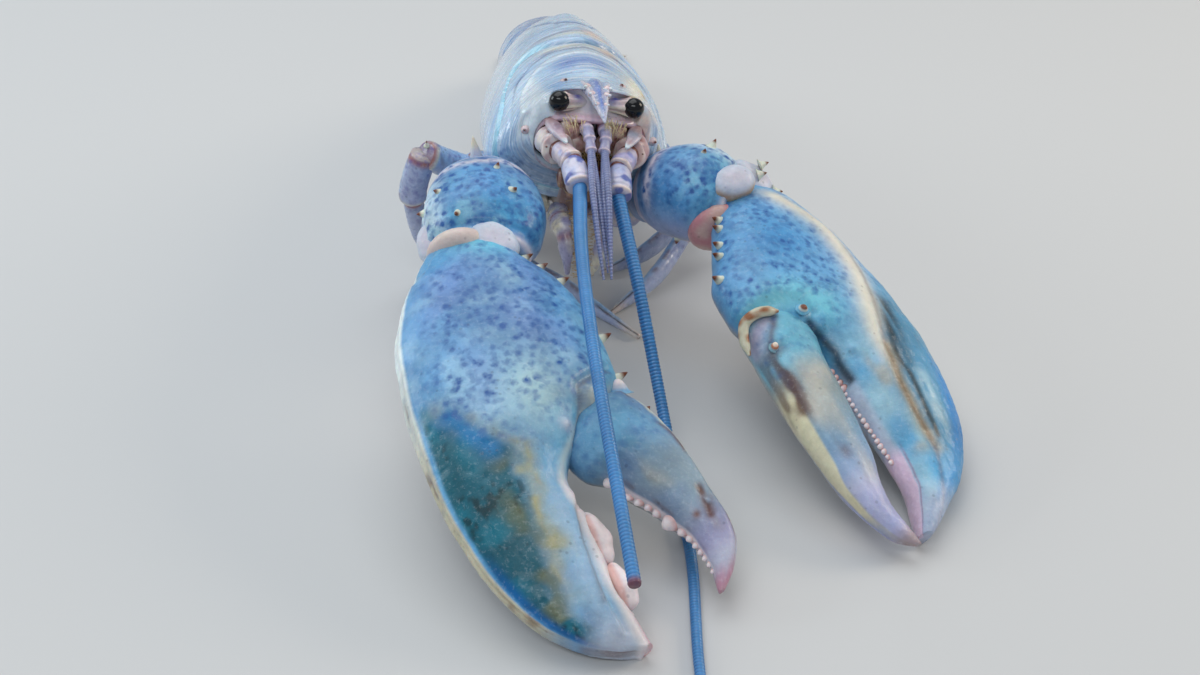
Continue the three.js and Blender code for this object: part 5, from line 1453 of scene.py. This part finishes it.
def article(start, end, radius, tone_in, tone_out, seed):
    """One ring of a limb: waisted at its root, swollen in the middle, with a rolled collar at its end."""
    girth = profile(*([place, radius * share] for place, share in article_girth))
    points, share, turn = limb([start, end], way(0, 0, 1), girth, girth, even(56), 84)
    relief = (
        collar_height * radius * (hill(share, 0.93, 0.05) * 0.6 - hill(share, 0.82, 0.05) * 0.5)
        + 0.16 * cloud(points, 2.6, seed) + 0.05 * cloud(points, 0.9, seed + 1))
    points = raised(points, relief)
    tone = painted(
        tone_in,
        (tone_out, mottle(points, 3, seed + 2, -0.4, 0.5)),
        (linear(236, 216, 206), 0.85 * hill(share, 0.93, 0.06)),
        (brown_skin, 0.7 * fade(0.1, 0.0, share)))
    return points, tone, share, turn


antenna_joints = {
    "right": [(-3, -13.6, -12.6), (6, -10.8, -14), (13, -7, -16.2), (21.5, -5.2, -21.8)],
    "left": [(-3, 14.6, -12.4), (6, 11.2, -13.6), (13.5, 7.4, -17.2), (22, 6.6, -23.6)],
}
for side, name in ((-1, "right"), (1, "left")):
    joints = [body(*joint) for joint in antenna_joints[name]]
    lobe_in = linear(232, 222, 214) if side < 0 else linear(196, 150, 142)
    lobe_out = linear(214, 206, 216) if side < 0 else linear(206, 176, 178)
    lobe, lobe_tone, share, turn = article(joints[0], joints[1], 5, lobe_in, lobe_out, 101)
    hollow = hill(share, 0.55, 0.16) * hill(turn, 90 + side * 20, 26)
    lobe = raised(lobe, -0.8 * hollow)
    lobe = raised(lobe, 0.5 * cloud(lobe, 3.2, 114))
    lobe_tone = painted(
        lobe_tone,
        (linear(190, 150, 156), 0.6 * mottle(lobe, 2.2, 115, -0.1, 0.5)),
        (linear(150, 92, 84), 0.7 * hollow),
        (white, 0.7 * hill(share, 0.78, 0.05) * hill(turn, 90, 50)))
    second, second_tone, share, turn = article(
        joints[1], joints[2], 3.6, linear(212, 196, 200), linear(176, 172, 210), 104)
    third, third_tone, share, turn = article(
        joints[2], joints[3], 4, linear(176, 184, 220), linear(204, 200, 216), 107)
    second_tone = blend(second_tone, linear(110, 128, 196), 0.6 * mottle(second, 2.4, 112, 0.1, 0.6))
    third_tone = blend(third_tone, linear(62, 84, 166), 0.85 * mottle(third, 2.2, 113, 0.0, 0.5))
    skins = [
        sheet(lobe, lobe_tone, 0.1), sheet(second, second_tone, 0.1), sheet(third, third_tone, 0.1),
        sheet(ball(joints[1] + way(0.4, -side * 0.2, -0.2), way(1, 0, 0), 2.6, 3.3), brown_skin),
        sheet(ball(joints[2], way(1, 0, 0), 2.6, 3), brown_skin),
        bump(
            joints[1] + way(0, side, 0.1) * 3.4, way(1, side * 0.4, 0.2), 0.9, 2.2, 3, spine_tip,
            pink_pearl, pink_pearl)]
    add_piece(f"antenna_base_{name}", skins, cream_shell)

    scale_width = profile([0, 1.5], [0.35, 2.1], [0.8, 1.2], [1, 0.25])
    scale_height = profile([0, 1.2], [0.5, 0.9], [1, 0.25])
    blade, share, turn = limb(
        [body(0, side * 13.5, -6.6), body(6, side * 11.8, -8.2), body(11.4, side * 9, -10.8)],
        way(0, side * 0.35, 1), scale_width, scale_height, even(60), 60)
    outer = fade(0.3, 0.9, -side * np.cos(np.radians(turn)))
    blade = raised(blade, 0.35 * outer + 0.1 * cloud(blade, 1.5, 111))
    tone = painted(
        linear(190, 160, 166),
        (pearl, 0.6 * outer),
        (linear(140, 96, 92), 0.5 * mottle(blade, 2, 116, 0.0, 0.6)),
        (linear(150, 100, 90), 0.5 * fade(0.4, 0.0, share)),
        (white, fade(0.8, 0.95, share)),
        (turquoise if side > 0 else lilac, 0.4 * hill(share, 0.5, 0.2) * (1 - outer)))
    add_piece(f"antenna_scale_{name}", [sheet(blade, tone, 0.2)], cream_shell)

feeler_paths = {
    "right": [(-13.6, -60, 57.4), (-16.2, -105, 51.4), (-17.1, -176, 36)],
    "left": [
        (4.4, -50.7, 38), (6.6, -66.3, 20.5), (7.6, -84, 8.4), (7.2, -104, 2.9), (5.6, -130, 1.9),
        (-0.3, -171, 1.7), (-2, -205, 1.5), (8, -240, 1.2), (32, -262, 0.9), (58, -268, 0.8)],
}
feeler_radii = {
    "right": profile([0, 2.1], [0.3, 1.75], [1, 1.5]),
    "left": profile([0, 2.1], [0.2, 1.7], [0.5, 1.35], [0.8, 0.95], [1, 0.45]),
}
ring_length = 1.05
ring_rows = 6


def add_feeler(name, side, span, columns):
    """A feeler: a tube along its path whose radius and tone rise and fall once in every ring."""
    *_, joint, tip = (body(*place) for place in antenna_joints[side])
    places = [tip + 0.3 * unit(tip - joint), *feeler_paths[side]]
    sample, along = path_places(places, even(400))
    whole = np.linalg.norm(np.diff(sample, axis=0), axis=1).sum()
    rows = int((span[1] - span[0]) * whole / ring_length) * ring_rows
    shares = np.linspace(*span, rows)
    radii = feeler_radii[side]
    points, share, turn = limb(places, (0.2, 0.1, 1), radii, radii, shares, columns)
    phase = share * whole / ring_length * 2 * math.pi
    swell = np.cos(phase + 0.25 * np.sin(np.radians(turn)))
    points = raised(points, 0.09 * swell)
    tone = painted(
        sky_feeler,
        (feeler_seam, 0.7 * fade(-0.2, -0.9, swell)),
        # painted highlight: the top of the feeler is lighter
        (linear(92, 156, 208), 0.4 * fade(0.3, 1.0, np.sin(np.radians(turn)))))
    if side == "right":
        tone = blend(tone, linear(120, 52, 44), 0.8 * fade(0.985, 0.998, share))
    add_piece(name, [sheet(points, tone, 0.15)], feeler)


add_feeler("antenna_right", "right", (0, 1), 20)
for third in range(3):
    add_feeler(f"antenna_left_{third + 1}", "left", (third / 3, (third + 1) / 3), 16)

# The small feelers: a jointed stem each side of the beak, with two thin beaded threads that hang
# together in front of the mouth.
for side, name in ((-1, "right"), (1, "left")):
    stem_middle = body(7, side * 2.7 + 0.5, -8.4)
    stem_end = body(12, side * 1.9 + 0.5, -13)
    stem_width = profile(
        [0, 1.8], [0.28, 2.2], [0.42, 1.7], [0.5, 1.8], [0.68, 1.75], [0.73, 1.5], [0.94, 1.7], [1, 1.3])
    points, share, turn = limb(
        [body(0, side * 3, -7), stem_middle, stem_end], way(0, 0, 1), stem_width, stem_width,
        even(90), 48)
    rings = hill(share, 0.36, 0.03) + hill(share, 0.66, 0.03) + hill(share, 0.95, 0.03)
    points = raised(points, 0.22 * rings + 0.08 * cloud(points, 1, 121))
    tone = painted(
        linear(190, 128, 134),
        (lilac, fade(0.12, 0.4, share)),
        (linear(226, 206, 214), 0.7 * rings))
    skins = [sheet(points, tone, 0.3)]
    threads = (
        ([(0, -31, 62, 1.85), (-0.7, -42, 54, 1.5), (-1, -53, 43.5, 0.9)], 0.2,
         ([0, 1.2], [0.6, 0.95], [1, 0.35])),
        ([(0.2, -30.6, 61, 0.65), (0, -41, 53, 0.5), (0, -50, 44, 0.4)], 0.3,
         ([0, 1.0], [0.6, 0.8], [1, 0.3])))
    for hung, back, knots in threads:
        radii = profile(*knots)
        places = [stem_end + (stem_middle - stem_end) * back]
        places += [(-4.2 + x + side * 1.25 * apart, y, z) for x, y, z, apart in hung]
        points, share, turn = limb(places, (0, 0.3, 1), radii, radii, even(240), 14)
        beads = np.cos(share * 2 * math.pi * 46)
        points = raised(points, 0.07 * beads)
        tone = blend(linear(126, 136, 178), linear(64, 70, 112), 0.7 * fade(-0.1, -0.9, beads))
        skins.append(sheet(points, tone))
    add_piece(f"antennule_{name}", skins, lilac_shell)

# The mouth: a knot of jaws and bristles behind the feelers' bases, and one pair of feeding legs
# folded in front of it, each with a comb of hairs.
lumps = []
for side in (-1, 1):
    for place, radius in (((1, 7.2, -8.6), 3.4), ((2, 9.4, -12.6), 3.2), ((0, 4.6, -12.6), 3.6)):
        lump = ball(body(place[0], side * place[1], place[2]), way(1, side * 0.2, -0.2), 3, radius)
        rough = cloud(lump, 1.5, 135)
        lump = raised(lump, 0.4 * rough)
        lump_tone = blend(linear(196, 150, 146), linear(226, 208, 198), fade(0, 0.7, rough))
        lumps.append(sheet(lump, blend(lump_tone, brown_skin, 0.8 * fade(-0.1, -0.7, rough))))
jaws = ball(body(-6, 0, -25), way(0, 1, 0), 8.5, 7, 60, 80)
folds = np.cos(np.linspace(0, 9 * math.pi, 60))[:, None] + 0.6 * cloud(jaws, 2.4, 131)
jaws = raised(jaws, 0.5 * folds)
tone = blend(linear(96, 48, 38), linear(188, 140, 120), fade(-0.2, 0.9, folds))
skins = [sheet(jaws, tone)] + lumps
skins += tuft(body(0, 0, -24), (4.5, 1, 3.5), way(1, 0, -0.3), 0.35, 160, 4.5, gold)
skins += tuft(body(2, 0, -15), (5.5, 1, 1.5), way(1, 0, -0.2), 0.35, 130, 4.0, gold)
add_piece("mouth", skins, cream_shell)

for side, name in ((-1, "right"), (1, "left")):
    places = [
        body(-16, side * 6, -38), body(-2, side * 7, -38), body(6, side * 6.2, -40),
        body(8.5, side * 4.8, -47), body(6, side * 3.6, -53)]
    widths = profile(
        [0, 3.4], [0.28, 3.7], [0.36, 3.0], [0.42, 3.6], [0.6, 3.0], [0.66, 2.4], [0.72, 2.7], [1, 0.9])
    heights = profile([0, 2.6], [0.4, 2.4], [0.7, 2], [1, 0.8])
    points, share, turn = limb(
        places, way(0.4, side * 0.9, 1), widths, heights, even(130), 60)
    points = raised(points, 0.12 * cloud(points, 1.8, 133))
    tone = painted(
        lilac,
        (cream, mottle(points, 4, 134, -0.2, 0.6)),
        (linear(160, 96, 84), 0.6 * (hill(share, 0.38, 0.03) + hill(share, 0.66, 0.03))))
    skins = [sheet(points, tone, 0.4)]
    for share_at in (0.3, 0.45, 0.6, 0.75, 0.9):
        place, along = path_places(places, [share_at])
        skins += tuft(
            place[0] - way(0, side, 0) * 2, (0.6, 2.2, 2.2), way(0.5, -side, 0.1), 0.3, 26, 3.4, gold)
    add_piece(f"mouth_leg_{name}", skins, lilac_shell)

# The breast and the hips: the narrow plate between the legs, a row of hard shell bars fused side by
# side, and the two ring joints that carry the claw arms.
station = np.linspace(-96, -12, 170)[:, None]
turn = once_round(96)[None]
breast_width = profile([-96, 15], [-60, 14], [-30, 9], [-10, 6])
across = squarer(np.cos(turn), 0.7) * breast_width(station)
rise = squarer(np.sin(turn), 0.7) * np.where(np.sin(turn) > 0, 9, 6.5)
bars = np.cos((station + 96) / 84 * 2 * math.pi * 6.5)
breast = body(station + 0 * turn, across, -33 + rise)
breast = raised(breast, 0.35 * bars - 0.5 * hill(across, 0, 1.2) + 0.1 * cloud(breast, 2, 141))
tone = painted(
    under_cream,
    (pink, 0.5 * mottle(breast, 6, 142, -0.2, 0.6)),
    (linear(140, 92, 80), 0.6 * fade(-0.5, -1, bars + 0 * turn)))
add_piece("breast", [sheet(breast, tone)], cream_shell)

for claw, made in wrists.items():
    hip_width = profile([0, 6.4], [0.35, 7], [0.6, 6], [1, 6.4])
    hip_height = profile([0, 5.6], [0.35, 6.4], [0.6, 5.4], [1, 5.6])
    points, share, turn = limb(made["hip"], (0, 0, 1), hip_width, hip_height, even(80), 72)
    rings = hill(share, 0.42, 0.03) + hill(share, 0.92, 0.04)
    points = raised(points, 0.4 * rings + 0.2 * cloud(points, 3, 143))
    tone = painted(
        cream,
        (lilac, mottle(points, 5, 144, -0.3, 0.5)),
        (linear(150, 84, 70), 0.6 * hill(share, 0.5, 0.04)))
    add_piece(f"{claw}_hip", [sheet(points, tone, 0.3)], cream_shell)

# The walking legs: four pairs of thin jointed tubes of shell. The first two pairs end in small
# pincers, the last two in a single claw, and soft brown skin shows at the knees.
leg_shell = shell_material(
    "leg_shell", spot=(72, 62, 150), spot_size=2.2, streaks=0.2, specks=0.3, clouds=0.4, gloss=0.26,
    bump=0.35)
leg_roots = [(-37, 11, -36), (-49, 12, -37), (-62, 13, -38), (-75, 14, -38)]
leg_bends = {
    "right": [
        [(-37, 31, 33), (-29, 24, 15), (-9, 11, 4.6), (10.3, -17, 1.4), 1],
        [(-54.5, 14, 56), (-59, 17, 41), (-56, 27, 21), (-51, 38, 0.8), 1.15],
        [(-39, 58, 25), (-45, 62, 19), (-50, 68, 9), (-53, 74, 0.8), 1],
        [(-34, 87, 20), (-38, 93, 15.5), (-42, 101, 8), (-44, 108, 0.8), 1],
    ],
    "left": [
        [(42, 34, 25), (30, 22, 13), (20, 11, 7), (3.6, -0.7, 1.4), 1],
        [(46, 49, 27), (35, 42, 13), (20, 33, 5), (4, 27, 1.4), 1],
        [(36, 61, 23), (43, 66, 18), (50, 73, 9), (54, 80, 0.8), 1],
        [(32, 89, 19), (38, 96, 15), (44, 104, 8), (47, 112, 0.8), 1],
    ],
}
upper_width = profile([0, 4.6], [0.16, 4.8], [0.24, 3.4], [0.5, 4], [0.9, 3.8], [0.97, 4.1], [1, 3.1])
upper_height = profile([0, 4.4], [0.16, 4.4], [0.24, 3.2], [0.5, 4.3], [0.9, 4], [0.97, 4.3], [1, 3.2])
knee_knots = [0, 3.4], [0.06, 3.9], [0.2, 3.9], [0.27, 4.0], [0.3, 2.8]
lower_height = profile(*knee_knots, [0.6, 2.7], [0.75, 2.1], [1, 0.9])
handed_width = profile(*knee_knots, [0.6, 3.6], [0.75, 3], [1, 0.9])
plain_width = profile(*knee_knots, [0.6, 2.9], [0.75, 2], [1, 0.8])


def leg_tone(points, share, turn, knees, seed):
    """Pale blue shell, lilac below, with cream rims and brown skin at the knees."""
    rise = np.sin(np.radians(turn))
    tone = painted(
        linear(160, 190, 224),
        (sky, 0.6 * mottle(points, 5, seed, -0.2, 0.6)),
        (lilac, 0.6 * fade(0.2, -0.6, rise)),
        (linear(124, 82, 66), 0.6 * hill(rise, -0.1, 0.3) * mottle(points, 2.6, seed + 5, -0.3, 0.4)))
    for knee, reach in knees:
        tone = painted(
            tone,
            (cream, 0.85 * hill(share, knee - 1.6 * reach, reach)),
            (linear(164, 88, 56), 0.85 * hill(share, knee, reach)))
    return tone


for index, (forward, apart, level) in enumerate(leg_roots):
    for side, name in ((-1, "right"), (1, "left")):
        knee, shin, hand, toe, girth = leg_bends[name][index]
        root = body(forward, side * apart, level)
        knee = np.array(knee, float)
        thigh = root + (knee - root) * 0.35 - np.array([0, 0, 2.5])
        away = unit(knee - thigh)
        points, share, turn = limb(
            [root, thigh, knee], (0, 0.2, 1), lambda x: girth * upper_width(x),
            lambda x: girth * upper_height(x), even(110), 44, 0.92)
        points = raised(points, 0.14 * cloud(points, 2.2, 151) + 0.05 * cloud(points, 0.9, 152))
        tone = leg_tone(points, share, turn, [(0.24, 0.02), (0.99, 0.015)], 153)
        thorn = spine(knee - away * 1.5 + np.array([0, 0, 3.4 * girth]), (0, -0.3, 1), 1.6, 0.9)
        add_piece(
            f"leg_{index + 1}_{name}_upper",
            [sheet(points, tone, 0.8 * fade(-0.3, 0.5, np.sin(np.radians(turn)))), thorn], leg_shell)
        widths = handed_width if index < 2 else plain_width
        points, share, turn = limb(
            [knee + away * 0.5, shin, hand, toe], (0, 1, 0.3), lambda x: girth * widths(x),
            lambda x: girth * lower_height(x), even(150), 40)
        grip = fade(0.72, 0.78, share) * hill(np.sin(np.radians(turn)), 0, 0.3) if index < 2 else 0 * share
        points = raised(points, 0.1 * cloud(points, 2, 154) - 0.7 * grip * fade(1, 0.94, share))
        tone = leg_tone(points, share, turn, [(0.02, 0.02), (0.3, 0.014)], 155)
        tone = painted(
            tone,
            (linear(226, 206, 180), 0.7 * fade(0.85, 0.97, share)),
            # painted shade: the slit between the small pincer's fingers is near black
            (linear(70, 46, 40), 0.8 * grip))
        add_piece(
            f"leg_{index + 1}_{name}_lower", [sheet(points, tone, 0.6 * fade(0.7, 0.3, share))],
            leg_shell)

# The tail: six overlapping rings of shell that slide over each other, with a flap hanging from each
# side and paddles under them, and a fan of five flat plates with a hairy edge, laid on the ground.
segment = 19.5
tail_gap = 0.3
bend_angles = np.radians([13, 15, 18, 21, 21, 17, 8])
tail_aside = 14.5
tail_joints = [body(-carapace_length, 0, -8.5)]
for number in range(6):
    slope = (bend_angles[number] + bend_angles[number + 1]) / 2
    last = tail_joints[-1]
    tail_joints.append(np.array([
        tail_joints[0][0] + tail_aside * ((number + 1) / 6) ** 1.1,
        last[1] + segment * math.cos(slope),
        last[2] - segment * math.sin(slope),
    ]))
tail_width = profile([0, 21.6], [2, 22.6], [4, 22.4], [6, 19])
tail_rise = profile([0, 20.4], [2, 19.4], [4, 16], [6, 9.4])
tail_drop = profile([0, 11.4], [2, 11.4], [4, 10], [6, 7])
ring_swell = profile([0, 0.93], [0.16, 0.965], [0.55, 1], [0.9, 1.025], [1, 0.99])


def tail_frame(place):
    """Middle, back, side and up of the tail at places counted in rings from the waist."""
    place = np.atleast_1d(place)
    centre, back = path_places(tail_joints, place / 6)
    tilt = (roll * (1 - place / 6))[:, None]
    flat = unit(np.stack([back[:, 1], -back[:, 0], 0 * back[:, 0]], axis=-1))
    side = flat * np.cos(tilt) + np.cross(back, flat) * np.sin(tilt)
    return centre, back, side, unit(np.cross(side, back))


def tail_place(frame_axes, along, across, rise):
    """A point from the tail's own axes."""
    centre, back, side, up = (axis[0] for axis in frame_axes)
    return centre + back * along + side * across + up * rise


swimmeret_width = profile([0, 2], [0.6, 3.6], [1, 1.4])
swimmeret_height = profile([0, 1.2], [0.6, 0.8], [1, 0.5])
flap_width = profile([0, 7.6], [0.4, 7.6], [0.75, 5.2], [1, 1])
flap_height = profile([0, 2.4], [0.6, 1.5], [1, 0.5])
flap_drops = [(10.4, 13.3), (10.4, 19), (10.4, 19), (10.4, 19), (10.4, 19), (6, 11)]
for number, (half_drop, full_drop) in enumerate(flap_drops):
    share = even(70)
    place = number + tail_gap / segment / 2 + share * (1 - tail_gap / segment)
    centre, back, side, up = tail_frame(place)
    turn = once_round(180)
    swell = ring_swell(share)
    half = (tail_width(place) * swell)[:, None]
    rise = np.where(np.sin(turn) > 0, (tail_rise(place) * swell)[:, None], tail_drop(place)[:, None])
    across = squarer(np.cos(turn), 0.9)[None, :] * half
    lift = squarer(np.sin(turn), 0.9)[None, :] * rise
    ring = centre[:, None] + across[..., None] * side[:, None] + lift[..., None] * up[:, None]
    share, turn = share[:, None] + 0 * lift, np.degrees(turn)[None, :] + 0 * lift
    relief = -0.5 * hill(share, 0.3, 0.035) + 0.35 * hill(share, 0.94, 0.04) + 0.1 * cloud(ring, 2.2, 161)
    ring = raised(ring, relief)
    overhead = fade(-0.2, 0.4, np.sin(np.radians(turn)))
    tone = painted(
        silver,
        (sky, 0.55 * mottle(ring, 7, 162, -0.2, 0.5)),
        (lilac, 0.5 * hill(np.sin(np.radians(turn)), 1, 0.4)),
        (deep_blue, 0.5 * hill(share, 0.3, 0.04) * overhead),
        (cream, 0.7 * hill(share, 0.97, 0.03)),
        (under_cream, 0.8 * (1 - overhead)))
    flow = np.stack([share * 20, turn * 0.09, 0 * turn], axis=-1) + number * 30
    skins = [sheet(ring, tone, 0.6 * overhead, flow)]
    middle = tail_frame(number + 0.5)
    half = float(tail_width(number + 0.5))
    drop = float(tail_drop(number + 0.5))
    for sign in (-1, 1):
        hung = [
            tail_place(middle, -0.5, sign * (half - 3.6), 0),
            tail_place(middle, 0, sign * (half - 2), -half_drop),
            tail_place(middle, 4.5, sign * (half - 2.6), -full_drop),
        ]
        flap, flap_share, _ = limb(hung, middle[2][0], flap_width, flap_height, even(50), 60)
        flap = raised(flap, 0.08 * cloud(flap, 1.8, 163))
        flap_tone = painted(
            sky,
            (cream, 0.7 * fade(0.6, 1, flap_share)),
            (lilac, 0.4 * mottle(flap, 4, 164, -0.2, 0.5)))
        skins.append(sheet(flap, flap_tone, 0.6))
        if 1 <= number <= 4:
            hung = [
                tail_place(middle, -3, sign * 11, -drop + 3),
                tail_place(middle, 1, sign * 12.5, -drop - 2),
                tail_place(middle, 7.6, sign * 13, -drop - 3.4),
            ]
            paddle, *_ = limb(hung, (0, 0, 1), swimmeret_width, swimmeret_height, even(30), 36)
            skins.append(sheet(paddle, linear(206, 176, 168)))
    add_piece(f"abdomen_{number + 1}", skins, back_shell)

fan_middle, fan_back, *_ = (axis[0] for axis in tail_frame(6))
fan_yaw = math.atan2(fan_back[0], fan_back[1])


def level(angle):
    """A level direction at an angle from straight behind."""
    return np.array([math.sin(angle), math.cos(angle), 0])


def add_fan_plate(name, forward, aside, turn_out, length, width, rise, thickness):
    """A flat plate of the fan: widening sections, two ribs, a seam across and a hairy hind edge."""
    out, across_way = level(fan_yaw + turn_out), level(fan_yaw + turn_out + math.pi / 2)
    root = fan_middle + level(fan_yaw) * forward + level(fan_yaw + math.pi / 2) * aside
    share = (1 - (1 - even(90)) ** 1.3)[:, None]
    turn = once_round(120)[None]
    across = squarer(np.cos(turn), 0.95) * width(share)
    lift = squarer(np.sin(turn), 0.95) * thickness(share)
    points = root + (share * length)[..., None] * out + across[..., None] * across_way
    points[..., 2] = rise(share) + lift
    ribs = 0.5 * hill(np.cos(turn), 0.25, 0.07) + 0.5 * hill(np.cos(turn), -0.25, 0.07)
    seam = hill(share, 0.7, 0.02) if name.startswith("uropod_outer") else 0 * share
    points = raised(points, (0.5 * ribs - 0.35 * seam) * fade(0, 0.4, np.sin(turn)))
    tone = painted(
        silver,
        (sky, 0.5 * mottle(points, 6, 171, -0.2, 0.5)),
        (cream, 0.7 * fade(0.86, 0.98, share + 0 * turn)),
        (deep_blue, 0.4 * seam + 0 * turn))
    flow = np.stack([share * 8 + 0 * turn, across, 0 * across], axis=-1)
    edge = np.linspace(-0.9, 0.9, 90)
    end_share = 0.97 - 0.12 * np.abs(edge) ** 3
    roots = (
        root + (end_share * length)[:, None] * out + (edge * width(end_share) * 0.97)[:, None] * across_way)
    roots[:, 2] = rise(end_share)
    directions = unit(out + (edge * 0.4)[:, None] * across_way + random.normal(0, 0.05, (90, 3)))
    hairs = bristles(
        roots, directions, 4.2 * random.uniform(0.8, 1.1, 90), 0.22, 0.02, linear(190, 160, 130))
    add_piece(name, [sheet(points, tone, 0.4, flow)] + hairs, back_shell)


add_fan_plate(
    "telson", 0.3, 0, 0, 41, profile([0, 14], [0.15, 16], [0.7, 14.4], [0.9, 12], [1, 6.4]),
    profile([0, 10.6], [0.4, 8], [1, 3.2]), profile([0, 4.2], [0.3, 2.7], [0.8, 1.5], [1, 0.6]))
uropod_thickness = profile([0, 2.6], [0.3, 2], [0.8, 1.2], [1, 0.5])
for sign, name in ((-1, "right"), (1, "left")):
    add_fan_plate(
        f"uropod_inner_{name}", -2, sign * 9.8, sign * math.radians(8), 42,
        profile([0, 4], [0.2, 8.4], [0.65, 11.4], [0.88, 9.6], [1, 4.6]),
        profile([0, 7.4], [0.4, 5], [1, 1.6]), uropod_thickness)
    add_fan_plate(
        f"uropod_outer_{name}", -5, sign * 12, sign * math.radians(14), 42,
        profile([0, 4], [0.2, 7.6], [0.65, 10.6], [0.88, 9.2], [1, 4.6]),
        profile([0, 6.4], [0.4, 3.6], [1, 0.8]), uropod_thickness)
